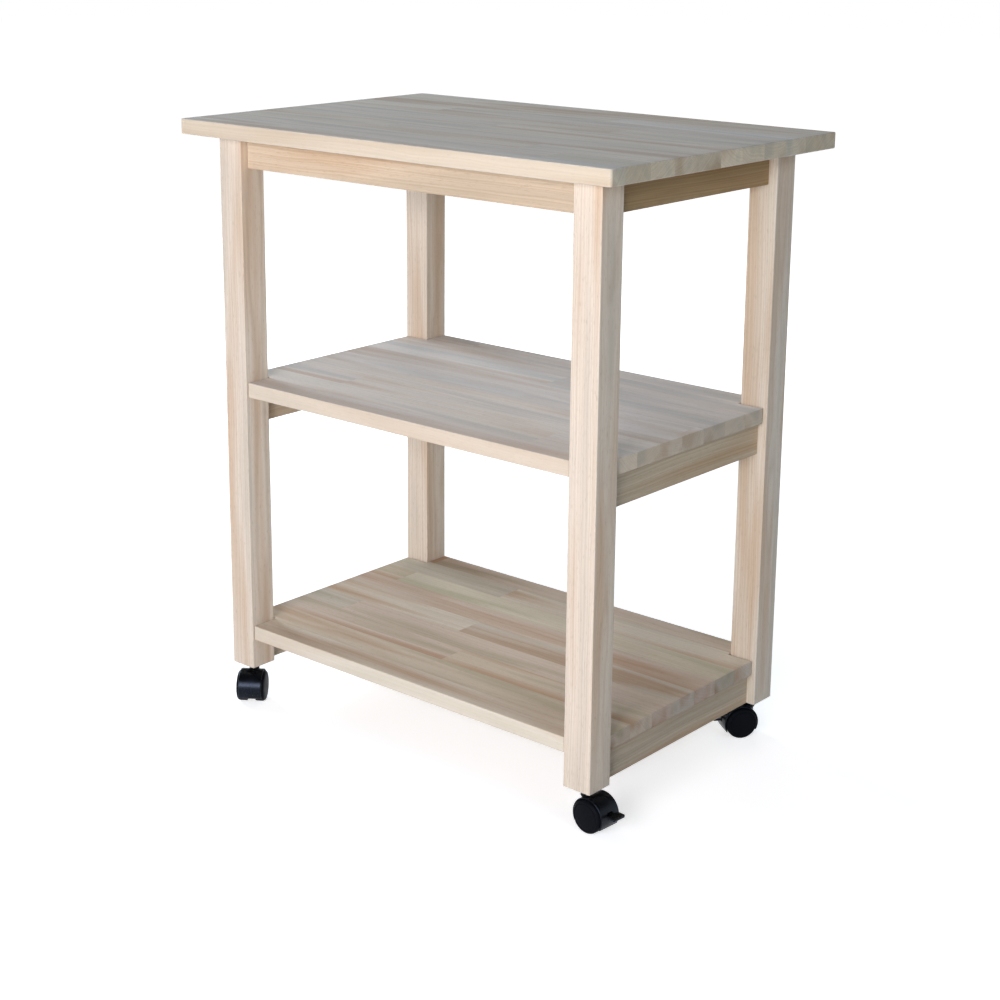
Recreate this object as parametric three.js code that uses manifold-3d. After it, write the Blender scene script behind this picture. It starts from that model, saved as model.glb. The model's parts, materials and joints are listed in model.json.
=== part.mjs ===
// Microwave cart on four twin-wheel swivel casters: a board top over an apron frame, four square legs,
// a middle and a bottom shelf on side rails. Millimetres: +X runs along the top's long side, the front
// faces -Y, +Z is up and the floor is z = 0 under the middle of the top.

import * as THREE from 'three';
import { mergeVertices } from 'three/addons/utils/BufferGeometryUtils.js';
import Module from 'manifold-3d';

const wasm = await Module();
wasm.setup();

// ---- Driving sizes: the wooden frame ----
const topLength = 660.4;
const topDepth = 436.9;
const totalHeight = 759.5;
const topThickness = 19;
const topCornerRadius = 4;
const topEase = 1.5;
const shelfThickness = 19;
const shelfEase = 1;
const legWidth = 38;
const legEase = 1.2; // radius of the long edges
const topOverhangX = 34.5;
const topOverhangY = 32;
const casterHeight = 48;
const apronHeight = 40;
const railHeight = 40;
const railThickness = 15;
const lowerBayHeight = 266; // clear, from the bottom shelf to the middle rails
const shelfEndInset = 4; // shelf end behind the legs' outer faces
const shelfFrontInset = 2; // shelf edge behind the legs' front and rear faces
const notchGapX = 1.5; // between a leg's inner face and the shelf's notch
const notchGapY = 3.5;
const tenonLength = 10;
const tenonThickness = 9;
const tenonHeight = 18;
const tenonRise = 4; // from the lower edge of the rail

// ---- Driving sizes: corner blocks and fasteners ----
const blockThickness = 18;
const blockHeight = 36;
const blockLegGap = 1; // between a leg's inner corner and its block
const boltRadius = 3;
const boltBite = 22; // length inside the leg
const boltDrop = 9.5; // bolt axis below the top board
const boltFlangeRadius = 7;
const boltFlangeThickness = 1.5;
const boltHeadRadius = 5.5;
const boltHeadHeight = 5;
const boltHeadSides = 6;
const screwRadius = 2;
const screwHeadRadius = 4;
const screwHeadHeight = 2.6;
const screwHeadFlat = 2.8; // radius of the head's flat end
const topScrewBite = 12;
const topScrewOffset = 14; // along the block, from the bolt
const shelfScrewBite = 11;
const counterboreDepth = 22;

// ---- Driving sizes: the casters ----
const wheelRadius = 20;
const casterTrail = 15; // from the stem's axis to the axle's
const wheelGapHalf = 5.8; // inner face of a wheel from the caster's middle
const treadEdge = 14.4; // where the flat tread ends and the dome begins
const domeReach = 18.2;
const discRadius = 16.8;
const discCrown = 0.8;
const wheelChamfer = 0.8;
const wheelWall = 3;
const wheelHubRadius = 5;
const axleRadius = 2.5;
const axleHalfLength = 13.5;
const hoodWall = 1.3;
const hoodWheelGap = 0.9;
const hoodHalfWidth = 15.2;
const hoodEase = 0.5;
const hoodBackAngle = -30; // degrees round the axle from the trailing side, up is positive
const hoodFrontAngle = 208;
const hoodWebHalf = 1.5;
const hoodWebDrop = 6; // lowest edge of the web below the axle
const hoodHubRadius = 5;
const hubWheelGap = 0.5;
const bossRadius = 6.6;
const bossBottom = 36; // above the floor
const bossFootRadius = 5.2; // the part of the boss between the wheels
const bossFootDrop = 2; // below the stem's lower end
const stemPinRadius = 3.7;
const stemRadius = 4;
const stemPinFoot = 26; // lower end of the stem, above the floor
const stemFlangeRadius = 6.5;
const stemFlangeThickness = 1.2;
const stemLength = 34; // above the leg's lower end
const stemChamfer = 1;
const gripRingRadius = 4.15;
const gripRingHeight = 3;
const gripRingDrop = 6;
const socketWall = 1.4;
const socketLength = 36;
const socketFlangeRadius = 8;
const socketFlangeThickness = 1.2;
const pedalPivotReach = 10; // pivot from the axle, towards the trailing side
const pedalPivotRise = 3.6;
const pedalPinRadius = 1.5;
const pedalPinInset = 0.5; // each end of the pin inside its cheek
const pedalCheekOuter = 3.6;
const pedalEyeRadius = 3.4;
const pedalForkReach = 15; // where the fork closes, from the axle
const pedalPlateStart = 24.2;
const pedalTip = 36;
const pedalHalfWidth = 10;
const pedalCornerRadius = 2;
const pedalThickness = 3.2;
const pedalEase = 0.8;
const pedalSlotMargin = 1.2;
const pedalTravel = 12; // degrees

const clearance = 0.3; // between pieces that pass through, seat on or turn in each other
const overrun = 1; // how far a cutting shape runs past the face it opens

// ---- Places that follow from the sizes ----
const legTop = totalHeight - topThickness;
const legX = topLength / 2 - topOverhangX - legWidth / 2;
const legY = topDepth / 2 - topOverhangY - legWidth / 2;
const innerX = legX - legWidth / 2;
const innerY = legY - legWidth / 2;
const apronBottom = legTop - apronHeight;
const bottomRailBottom = casterHeight;
const bottomShelfBottom = bottomRailBottom + railHeight;
const middleRailBottom = bottomShelfBottom + shelfThickness + lowerBayHeight;
const middleShelfBottom = middleRailBottom + railHeight;
const socketInnerRadius = stemRadius + clearance;
const socketOuterRadius = socketInnerRadius + socketWall;
const socketFlangeBottom = casterHeight - socketFlangeThickness;
const stemFlangeTop = socketFlangeBottom - clearance;
const stemFlangeBottom = stemFlangeTop - stemFlangeThickness;
const bossTop = stemFlangeBottom - clearance;
const hoodInnerRadius = wheelRadius + hoodWheelGap;
const hoodOuterRadius = hoodInnerRadius + hoodWall;
const axleHeight = wheelRadius;
const axleBoreRadius = axleRadius + clearance;
const screwHoleRadius = screwRadius + clearance;
const pedalPivotX = casterTrail + pedalPivotReach;
const pedalPivotZ = axleHeight + pedalPivotRise;
const boltZ = legTop - boltDrop;
const blockMiddle = blockLegGap + blockThickness / 2;

// ---- Fineness of the curves ----
const roundSteps = 16;
const smallSteps = 12;
const wheelSteps = 28;
const domeSteps = 2;
const hoodSteps = 14;
const cornerSteps = 3;
const easeSteps = 2;
const weldDistance = 1e-4;

// ---- Shape helpers ----

/** A closed manifold-3d solid from a closed three.js geometry. */
function solidOf(geometry) {
  const bare = geometry.clone();
  bare.deleteAttribute('normal');
  bare.deleteAttribute('uv');
  const merged = mergeVertices(bare, weldDistance);
  return new wasm.Manifold(new wasm.Mesh({
    numProp: 3,
    vertProperties: new Float32Array(merged.attributes.position.array),
    triVerts: new Uint32Array(merged.index.array),
  }));
}

/** The three.js geometry of a manifold-3d solid. */
function geometryOf(solid) {
  const mesh = solid.getMesh();
  const geometry = new THREE.BufferGeometry();
  geometry.setAttribute('position', new THREE.BufferAttribute(new Float32Array(mesh.vertProperties), 3));
  geometry.setIndex(new THREE.BufferAttribute(new Uint32Array(mesh.triVerts), 1));
  return geometry;
}

/** The base geometry with others joined to it, and then with tools cut from it. */
function shaped(base, { add = [], cut = [] }) {
  const joined = add.reduce((solid, other) => solid.add(solidOf(other)), solidOf(base));
  return geometryOf(cut.reduce((solid, tool) => solid.subtract(solidOf(tool)), joined));
}

/** A box between two corners. */
function boxBetween([x0, y0, z0], [x1, y1, z1]) {
  const box = new THREE.BoxGeometry(Math.abs(x1 - x0), Math.abs(y1 - y0), Math.abs(z1 - z0));
  return box.translate((x0 + x1) / 2, (y0 + y1) / 2, (z0 + z1) / 2);
}

/** A round bar along Z. */
function uprightBar(radius, z0, z1, x = 0, y = 0, steps = roundSteps) {
  const bar = new THREE.CylinderGeometry(radius, radius, z1 - z0, steps);
  return bar.rotateX(Math.PI / 2).translate(x, y, (z0 + z1) / 2);
}

/** A round bar along Y, centred on y = 0. */
function crossBar(radius, halfLength, x, z, steps = roundSteps) {
  return new THREE.CylinderGeometry(radius, radius, 2 * halfLength, steps).translate(x, 0, z);
}

/** A rectangle with rounded corners, centred on the origin. */
function roundedRectangle(width, depth, radius) {
  const x = width / 2;
  const y = depth / 2;
  const shape = new THREE.Shape();
  shape.moveTo(x, -y + radius);
  shape.lineTo(x, y - radius);
  shape.absarc(x - radius, y - radius, radius, 0, Math.PI / 2);
  shape.lineTo(-x + radius, y);
  shape.absarc(-x + radius, y - radius, radius, Math.PI / 2, Math.PI);
  shape.lineTo(-x, -y + radius);
  shape.absarc(-x + radius, -y + radius, radius, Math.PI, 1.5 * Math.PI);
  shape.lineTo(x - radius, -y);
  shape.absarc(x - radius, -y + radius, radius, 1.5 * Math.PI, 2 * Math.PI);
  return shape;
}

/** A flat shape raised from z0 to z1, with its upper and lower edges eased. */
function raised(shape, z0, z1, ease = 0, curveSegments = cornerSteps, bevelSegments = easeSteps) {
  const geometry = new THREE.ExtrudeGeometry(shape, {
    depth: z1 - z0 - 2 * ease,
    curveSegments,
    bevelEnabled: ease > 0,
    bevelThickness: ease,
    bevelSize: ease,
    bevelOffset: -ease,
    bevelSegments,
  });
  return geometry.translate(0, 0, z0 + ease);
}

/** An outline of [radius, height] corners turned about Z. */
function turned(corners, steps = roundSteps) {
  const profile = corners.map(([radius, height]) => new THREE.Vector2(radius, height));
  return new THREE.LatheGeometry(profile, steps).rotateX(Math.PI / 2);
}

/** A side view outline of [x, z] corners given a thickness along Y, centred on y = 0. */
function sideways(shape, halfWidth, ease = 0, curveSegments = hoodSteps) {
  return raised(shape, -halfWidth, halfWidth, ease, curveSegments, 1).rotateX(Math.PI / 2);
}

// ---- Finishes ----
const pieces = new THREE.Group();

const wood = () => new THREE.MeshStandardMaterial({ color: 0xd9c9b2, roughness: 0.62 });
const nylon = () => new THREE.MeshStandardMaterial({ color: 0x14171b, roughness: 0.42 });
const steel = () => new THREE.MeshStandardMaterial({ color: 0xb9bcbf, roughness: 0.35, metalness: 1 });

/** Adds one named piece to a group and returns its mesh. */
function piece(name, geometry, material, group = pieces) {
  const mesh = new THREE.Mesh(geometry, material);
  mesh.name = name;
  group.add(mesh);
  return mesh;
}

const sides = [
  { name: 'left', x: -1 },
  { name: 'right', x: 1 },
];
const ends = [
  { name: 'front', y: -1 },
  { name: 'rear', y: 1 },
];

// ---- Fasteners' holes that two pieces share ----

/** Where a corner's top screw stands, in plan. */
function topScrewPlace(side, end) {
  const alongDiagonal = blockMiddle / Math.SQRT2;
  const alongBlock = topScrewOffset / Math.SQRT2;
  return {
    x: side.x * (innerX - alongDiagonal - alongBlock),
    y: end.y * (innerY - alongDiagonal + alongBlock),
  };
}

/** A blind hole for a screw that comes up through the face at a height. */
function pilotHole(face, bite, x, y) {
  return uprightBar(screwHoleRadius, face - overrun, face + bite + clearance, x, y, smallSteps);
}

/** A round hole on the corner's diagonal, from inside the leg to past the block. */
function boltHole(side, end) {
  const length = boltBite + clearance + blockLegGap + blockThickness + boltFlangeRadius;
  const radius = boltRadius + clearance;
  const hole = new THREE.CylinderGeometry(radius, radius, length, roundSteps);
  hole.rotateZ(-Math.PI / 2).translate(length / 2 - boltBite - clearance, 0, 0);
  hole.rotateZ(Math.atan2(-end.y, -side.x));
  return hole.translate(side.x * innerX, end.y * innerY, boltZ);
}

// ---- Top board ----
function topBoard() {
  const outline = roundedRectangle(topLength, topDepth, topCornerRadius);
  const pilots = sides.flatMap((side) => ends.map((end) => {
    const place = topScrewPlace(side, end);
    return pilotHole(legTop, topScrewBite, place.x, place.y);
  }));
  return shaped(raised(outline, legTop, totalHeight, topEase), { cut: pilots });
}

piece('top_board', topBoard(), wood());

// ---- Legs ----

/** The pocket in a leg for one tenon. */
function mortise(side, end, railBottom) {
  const half = tenonThickness / 2 + clearance;
  const bottom = railBottom + tenonRise - clearance;
  const top = railBottom + tenonRise + tenonHeight + clearance;
  return boxBetween(
    [side.x * legX - half, end.y * (innerY - overrun), bottom],
    [side.x * legX + half, end.y * (innerY + tenonLength + clearance), top],
  );
}

function leg(side, end) {
  const post = raised(roundedRectangle(legWidth, legWidth, legEase), casterHeight, legTop, 0, easeSteps);
  post.translate(side.x * legX, end.y * legY, 0);
  const mortises = [apronBottom, middleRailBottom, bottomRailBottom].map((z) => mortise(side, end, z));
  const socketBore = uprightBar(
    socketOuterRadius + clearance,
    casterHeight - overrun,
    casterHeight + socketLength + 2 * clearance,
    side.x * legX,
    end.y * legY,
  );
  return shaped(post, { cut: [...mortises, socketBore, boltHole(side, end)] });
}

for (const side of sides) {
  for (const end of ends) {
    piece(`leg_${end.name}_${side.name}`, leg(side, end), wood());
  }
}

// ---- Aprons and rails ----
for (const end of ends) {
  const middleY = end.y * legY;
  const board = boxBetween(
    [-innerX, middleY - railThickness / 2, apronBottom],
    [innerX, middleY + railThickness / 2, legTop],
  );
  piece(`apron_${end.name}`, board, wood());
}

/** A rail between the front and the rear leg of a side, with a tenon at each end. */
function sideRail(side, bottom, height) {
  const centre = side.x * legX;
  const board = boxBetween(
    [centre - railThickness / 2, -innerY, bottom],
    [centre + railThickness / 2, innerY, bottom + height],
  );
  const tenons = boxBetween(
    [centre - tenonThickness / 2, -innerY - tenonLength, bottom + tenonRise],
    [centre + tenonThickness / 2, innerY + tenonLength, bottom + tenonRise + tenonHeight],
  );
  return { board, tenons, centre };
}

/** A side rail bored from below for the screw that holds its shelf. */
function shelfRail(side, bottom) {
  const { board, tenons, centre } = sideRail(side, bottom, railHeight);
  const below = bottom - overrun;
  const counterbore = uprightBar(screwHeadRadius + 2 * clearance, below, bottom + counterboreDepth, centre);
  const hole = uprightBar(screwHoleRadius, below, bottom + railHeight + overrun, centre, 0, smallSteps);
  return shaped(board, { add: [tenons], cut: [counterbore, hole] });
}

for (const side of sides) {
  const { board, tenons } = sideRail(side, apronBottom, apronHeight);
  piece(`apron_${side.name}`, shaped(board, { add: [tenons] }), wood());
  piece(`rail_middle_${side.name}`, shelfRail(side, middleRailBottom), wood());
  piece(`rail_bottom_${side.name}`, shelfRail(side, bottomRailBottom), wood());
}

// ---- Shelves ----

/** A shelf board with its corners notched round the legs. */
function shelfBoard(bottom) {
  const endX = legX + legWidth / 2 - shelfEndInset;
  const edgeY = legY + legWidth / 2 - shelfFrontInset;
  const notchX = innerX - notchGapX;
  const notchY = innerY - notchGapY;
  const corner = [[endX, notchY], [notchX, notchY], [notchX, edgeY]];
  const mirrored = (sx, sy) => corner.map(([x, y]) => new THREE.Vector2(sx * x, sy * y));
  const outline = new THREE.Shape([
    ...mirrored(1, 1),
    ...mirrored(-1, 1).reverse(),
    ...mirrored(-1, -1),
    ...mirrored(1, -1).reverse(),
  ]);
  const pilots = sides.map((side) => pilotHole(bottom, shelfScrewBite, side.x * legX, 0));
  return shaped(raised(outline, bottom, bottom + shelfThickness, shelfEase), { cut: pilots });
}

piece('middle_shelf', shelfBoard(middleShelfBottom), wood());
piece('bottom_shelf', shelfBoard(bottomShelfBottom), wood());

// ---- Corner blocks, bolts and screws ----

/** A block across an apron corner, its ends bevelled to lie on the inner faces of both aprons. */
function cornerBlock(side, end) {
  const frontFace = legY - railThickness / 2 - clearance;
  const sideFace = legX - railThickness / 2 - clearance;
  const onFront = (distance) => [innerX + innerY - frontFace - distance * Math.SQRT2, frontFace];
  const onSide = (distance) => [sideFace, innerX + innerY - sideFace - distance * Math.SQRT2];
  const far = blockLegGap + blockThickness;
  const corners = [onFront(blockLegGap), onFront(far), onSide(far), onSide(blockLegGap)];
  const outline = new THREE.Shape(corners.map(([x, y]) => new THREE.Vector2(side.x * x, end.y * y)));
  const place = topScrewPlace(side, end);
  const bottom = legTop - blockHeight;
  const screwHole = uprightBar(screwHoleRadius, bottom - overrun, legTop + overrun, place.x, place.y);
  return shaped(raised(outline, bottom, legTop), { cut: [boltHole(side, end), screwHole] });
}

/** A flanged bolt along X, with x = 0 at the leg's inner corner. */
function cornerBolt() {
  const seat = blockLegGap + blockThickness + clearance;
  const flangeEnd = seat + boltFlangeThickness;
  const shank = turned([
    [0, -boltBite],
    [boltRadius, -boltBite],
    [boltRadius, seat],
    [boltFlangeRadius, seat],
    [boltFlangeRadius, flangeEnd],
    [0, flangeEnd],
  ]);
  const headStart = flangeEnd - boltFlangeThickness / 2;
  const head = uprightBar(boltHeadRadius, headStart, flangeEnd + boltHeadHeight, 0, 0, boltHeadSides);
  return shaped(shank, { add: [head] }).rotateY(Math.PI / 2);
}

/** A pan head screw pointing up, with its head's bearing face at z = 0. */
function screw(length) {
  return turned([
    [0, -screwHeadHeight],
    [screwHeadFlat, -screwHeadHeight],
    [screwHeadRadius, -screwHeadHeight / 2],
    [screwHeadRadius, 0],
    [screwRadius, 0],
    [screwRadius, length - 2 * screwRadius],
    [0, length],
  ], smallSteps);
}

for (const side of sides) {
  for (const end of ends) {
    const corner = `${end.name}_${side.name}`;
    piece(`corner_block_${corner}`, cornerBlock(side, end), wood());

    const bolt = piece(`corner_bolt_${corner}`, cornerBolt(), steel());
    bolt.position.set(side.x * innerX, end.y * innerY, boltZ);
    bolt.rotation.z = Math.atan2(-end.y, -side.x);

    const place = topScrewPlace(side, end);
    const topScrew = piece(`top_screw_${corner}`, screw(blockHeight + topScrewBite + clearance), steel());
    topScrew.position.set(place.x, place.y, legTop - blockHeight - clearance);
  }
  const shelfScrewLength = railHeight - counterboreDepth + shelfScrewBite + clearance;
  for (const [level, railBottom] of [['middle', middleRailBottom], ['bottom', bottomRailBottom]]) {
    const shelfScrew = piece(`shelf_screw_${level}_${side.name}`, screw(shelfScrewLength), steel());
    shelfScrew.position.set(side.x * legX, 0, railBottom + counterboreDepth - clearance);
  }
}

// ---- Casters: local x runs from the stem to the trailing side, y along the axle, z up from the floor ----

/** The tube in a leg's lower end that holds a stem. */
function casterSocket() {
  return turned([
    [socketInnerRadius, socketFlangeBottom],
    [socketFlangeRadius, socketFlangeBottom],
    [socketFlangeRadius, casterHeight],
    [socketOuterRadius, casterHeight],
    [socketOuterRadius, casterHeight + socketLength],
    [socketInnerRadius, casterHeight + socketLength],
    [socketInnerRadius, socketFlangeBottom],
  ]);
}

/** The stem: a grip ring end for the socket, a flange and a pin that the hood turns on. */
function casterStem() {
  const top = casterHeight + stemLength;
  const ring = top - gripRingDrop;
  return turned([
    [0, stemPinFoot],
    [stemPinRadius, stemPinFoot],
    [stemPinRadius, stemFlangeBottom],
    [stemFlangeRadius, stemFlangeBottom],
    [stemFlangeRadius, stemFlangeTop],
    [stemRadius, stemFlangeTop],
    [stemRadius, ring - gripRingHeight],
    [gripRingRadius, ring - gripRingHeight / 2],
    [stemRadius, ring],
    [stemRadius, top - stemChamfer],
    [stemRadius - stemChamfer, top],
    [0, top],
  ]);
}

/** The hood's side view: a band round the wheels from the trailing side over the top to the front. */
function hoodBand() {
  const from = THREE.MathUtils.degToRad(hoodBackAngle);
  const to = THREE.MathUtils.degToRad(hoodFrontAngle);
  const band = new THREE.Shape();
  band.absarc(casterTrail, axleHeight, hoodOuterRadius, from, to, false);
  band.absarc(casterTrail, axleHeight, hoodInnerRadius, to, from, true);
  return band;
}

/** The plate between the wheels, inside the band. */
function hoodWeb() {
  const reach = hoodInnerRadius + hoodWall / 2;
  const dip = Math.asin(hoodWebDrop / reach);
  const web = new THREE.Shape();
  web.absarc(casterTrail, axleHeight, reach, -dip, Math.PI + dip, false);
  return web;
}

/** The hood: band, web, boss for the stem's pin and hub for the axle, slotted for a brake pedal. */
function casterHood(braked) {
  const shell = sideways(hoodBand(), hoodHalfWidth, hoodEase);
  const web = sideways(hoodWeb(), hoodWebHalf);
  const boss = uprightBar(bossRadius, bossBottom, bossTop);
  const bossFoot = uprightBar(bossFootRadius, stemPinFoot - bossFootDrop, bossBottom + bossFootDrop);
  const hub = crossBar(hoodHubRadius, wheelGapHalf - hubWheelGap, casterTrail, axleHeight);
  const cut = [
    uprightBar(stemPinRadius + clearance, stemPinFoot - clearance, bossTop + overrun),
    crossBar(axleBoreRadius, wheelGapHalf, casterTrail, axleHeight),
  ];
  if (braked) {
    const slotHalf = pedalCheekOuter + 2 * clearance;
    const drop = (hoodOuterRadius - pedalPivotReach) * Math.sin(THREE.MathUtils.degToRad(pedalTravel));
    cut.push(crossBar(pedalPinRadius + clearance, wheelGapHalf, pedalPivotX, pedalPivotZ));
    cut.push(boxBetween(
      [casterTrail + pedalForkReach - pedalSlotMargin, -slotHalf, pedalPivotZ - drop - pedalSlotMargin],
      [casterTrail + hoodOuterRadius + overrun, slotHalf, pedalPivotZ + pedalThickness + pedalSlotMargin],
    ));
  }
  return shaped(shell, { add: [web, boss, bossFoot, hub], cut });
}

/** The axle, along Y. */
function casterAxle() {
  return crossBar(axleRadius, axleHalfLength, 0, 0);
}

/** One wheel about Y, reaching out along +Y: a tread, a domed face and a hollow towards the hood. */
function casterWheel() {
  const profile = [
    [0, axleHalfLength + clearance],
    [axleBoreRadius, axleHalfLength + clearance],
    [axleBoreRadius, wheelGapHalf],
    [wheelHubRadius, wheelGapHalf],
    [wheelHubRadius, treadEdge],
    [wheelRadius - wheelWall, treadEdge],
    [wheelRadius - wheelWall, wheelGapHalf],
    [wheelRadius - wheelChamfer, wheelGapHalf],
    [wheelRadius, wheelGapHalf + wheelChamfer],
    [wheelRadius, treadEdge],
  ];
  for (let step = 1; step <= domeSteps; step += 1) {
    const turn = (step / domeSteps) * (Math.PI / 2);
    profile.push([
      discRadius + (wheelRadius - discRadius) * Math.cos(turn),
      treadEdge + (domeReach - treadEdge) * Math.sin(turn),
    ]);
  }
  profile.push([0, domeReach + discCrown]);
  const outline = profile.map(([radius, along]) => new THREE.Vector2(radius, along));
  return new THREE.LatheGeometry(outline, wheelSteps);
}

/** The brake pedal: a plate behind the hood, and a fork with its own pin on the hood's web. */
function brakePedal() {
  const cheekInner = hoodWebHalf + clearance;
  const top = pedalPivotZ + pedalThickness;
  const outline = roundedRectangle(pedalTip - pedalPlateStart, 2 * pedalHalfWidth, pedalCornerRadius);
  const plate = raised(outline, pedalPivotZ, top, pedalEase);
  plate.translate(casterTrail + (pedalTip + pedalPlateStart) / 2, 0, 0);
  const arm = boxBetween(
    [pedalPivotX, -pedalCheekOuter, pedalPivotZ],
    [casterTrail + pedalPlateStart + pedalCornerRadius, pedalCheekOuter, top],
  );
  const eye = crossBar(pedalEyeRadius, pedalCheekOuter, pedalPivotX, pedalPivotZ);
  const forkGap = boxBetween(
    [pedalPivotX - 2 * pedalEyeRadius, -cheekInner, pedalPivotZ - 2 * pedalEyeRadius],
    [casterTrail + pedalForkReach, cheekInner, pedalPivotZ + 2 * pedalEyeRadius],
  );
  const pin = crossBar(pedalPinRadius, pedalCheekOuter - pedalPinInset, pedalPivotX, pedalPivotZ);
  const fork = shaped(eye, { add: [arm], cut: [forkGap] });
  return shaped(fork, { add: [plate, pin] });
}

// each heading is the way a caster trails, in degrees from +X towards +Y
const casters = [
  { name: 'front_left', x: -1, y: -1, heading: -54, braked: false },
  { name: 'front_right', x: 1, y: -1, heading: -4, braked: true },
  { name: 'rear_left', x: -1, y: 1, heading: 150, braked: false },
  { name: 'rear_right', x: 1, y: 1, heading: -126, braked: true },
];

for (const caster of casters) {
  const fixed = new THREE.Group();
  fixed.position.set(caster.x * legX, caster.y * legY, 0);
  piece(`caster_socket_${caster.name}`, casterSocket(), steel(), fixed);
  piece(`caster_stem_${caster.name}`, casterStem(), steel(), fixed);

  const swivel = new THREE.Group();
  swivel.rotation.z = THREE.MathUtils.degToRad(caster.heading);
  piece(`caster_hood_${caster.name}`, casterHood(caster.braked), nylon(), swivel);
  const axle = piece(`caster_axle_${caster.name}`, casterAxle(), steel(), swivel);
  axle.position.set(casterTrail, 0, axleHeight);
  for (const [letter, turn] of [['a', 0], ['b', Math.PI]]) {
    const wheel = piece(`caster_wheel_${caster.name}_${letter}`, casterWheel(), nylon(), swivel);
    wheel.position.set(casterTrail, 0, axleHeight);
    wheel.rotation.z = turn;
  }
  if (caster.braked) {
    piece(`brake_pedal_${caster.name}`, brakePedal(), nylon(), swivel);
  }
  fixed.add(swivel);
  pieces.add(fixed);
}

export default pieces;
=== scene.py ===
"""Microwave cart: its looks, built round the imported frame.

Metres, +X along the top's long side, the front faces -Y, +Z is up and the floor is z = 0. The cart
is bare rubberwood on black nylon twin-wheel casters. Sizes in the classes below are millimetres.
"""

import json
import logging
import math
from dataclasses import dataclass
from enum import Enum
from typing import Any, Sequence

import bmesh
import bpy
from mathutils import Euler, Matrix, Vector


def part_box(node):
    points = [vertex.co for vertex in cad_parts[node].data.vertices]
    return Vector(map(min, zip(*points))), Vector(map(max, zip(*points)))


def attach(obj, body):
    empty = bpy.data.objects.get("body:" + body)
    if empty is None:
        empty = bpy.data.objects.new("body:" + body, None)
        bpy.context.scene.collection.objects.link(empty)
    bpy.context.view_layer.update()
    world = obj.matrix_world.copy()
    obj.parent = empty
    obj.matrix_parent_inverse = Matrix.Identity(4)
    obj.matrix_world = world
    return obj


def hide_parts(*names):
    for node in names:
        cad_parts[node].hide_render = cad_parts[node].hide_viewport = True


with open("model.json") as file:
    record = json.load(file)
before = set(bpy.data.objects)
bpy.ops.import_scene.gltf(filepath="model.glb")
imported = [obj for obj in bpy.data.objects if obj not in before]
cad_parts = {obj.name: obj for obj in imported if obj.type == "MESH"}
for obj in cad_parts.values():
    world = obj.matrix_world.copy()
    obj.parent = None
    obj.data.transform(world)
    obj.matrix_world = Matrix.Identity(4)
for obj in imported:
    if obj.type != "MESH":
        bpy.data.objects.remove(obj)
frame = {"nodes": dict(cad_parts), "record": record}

LOG = logging.getLogger("microwave_cart")
MM = 0.001
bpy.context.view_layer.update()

# The kinds of node that are used most
MATH = "ShaderNodeMath"
MIX = "ShaderNodeMix"
NOISE = "ShaderNodeTexNoise"
RANGE = "ShaderNodeMapRange"
VECTOR = "ShaderNodeVectorMath"

Material = bpy.types.Material
Mesh = bpy.types.Mesh
Socket = bpy.types.NodeSocket
Tree = bpy.types.NodeTree

Colour = tuple[float, float, float, float]
Point = tuple[float, float]
Place = tuple[float, float, float]
Rounding = tuple[float, int]  # a radius, and how many edges it has
Layer = tuple[Socket | float, Socket | Colour, str]  # how much shows, its colour, how it is laid on


# ---- Words for what a piece or a finish can be ----


class Grain(Enum):
    """The axis that a piece's grain runs along: the order of its along, across and through axes."""

    X = (0, 1, 2)
    Y = (1, 0, 2)
    Z = (2, 0, 1)


class Slot(Enum):
    """The record's material slots."""

    WOOD = "rubberwood"
    HOOD = "hood_nylon"
    WHEEL = "wheel_nylon"
    STEEL = "zinc_steel"


class Side(Enum):
    """The cart's left and right side, as the sign of x."""

    LEFT = -1
    RIGHT = 1


class End(Enum):
    """The cart's front and rear, as the sign of y."""

    FRONT = -1
    REAR = 1


# ---- Nodes and colours ----


def linear(code: str) -> Colour:
    """Turns an sRGB hex colour into linear red, green, blue and alpha.

    Args:
        code: the colour as "#RRGGBB".

    Returns:
        The linear colour with an alpha of 1.
    """
    values = [int(code[i : i + 2], 16) / 255 for i in (1, 3, 5)]
    red, green, blue = (v / 12.92 if v <= 0.04045 else ((v + 0.055) / 1.055) ** 2.4 for v in values)
    return red, green, blue, 1.0


def add_node(
    tree: Tree, kind: str, inputs: dict[str | int, Any] | None = None, **settings: Any
) -> bpy.types.Node:
    """Adds one node to a tree.

    Args:
        tree: the tree that gets the node.
        kind: the node's type.
        inputs: a value, or the socket that feeds it, for each input by name or number.
        settings: the node's properties by name.

    Returns:
        The new node.
    """
    node = tree.nodes.new(kind)
    for name, value in settings.items():
        setattr(node, name, value)
    for name, value in (inputs or {}).items():
        if isinstance(value, Socket):
            tree.links.new(value, node.inputs[name])
        else:
            node.inputs[name].default_value = value
    return node


def new_material(name: str) -> tuple[Material, Tree]:
    """Makes an empty node material.

    Args:
        name: the material's name.

    Returns:
        The material and its node tree.
    """
    material = bpy.data.materials.new(name)
    material.use_nodes = True
    material.node_tree.nodes.clear()
    return material, material.node_tree


def set_ramp(node: bpy.types.Node, stops: Sequence[tuple[float, Colour]]) -> None:
    """Sets the stops of a colour ramp node.

    Args:
        node: the colour ramp.
        stops: each stop's place and colour, from 0 to 1.
    """
    elements = node.color_ramp.elements
    while len(elements) > 1:
        elements.remove(elements[-1])
    elements[0].position, elements[0].color = stops[0]
    for place, colour in stops[1:]:
        elements.new(place).color = colour


# ---- Geometry Nodes ----


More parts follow.
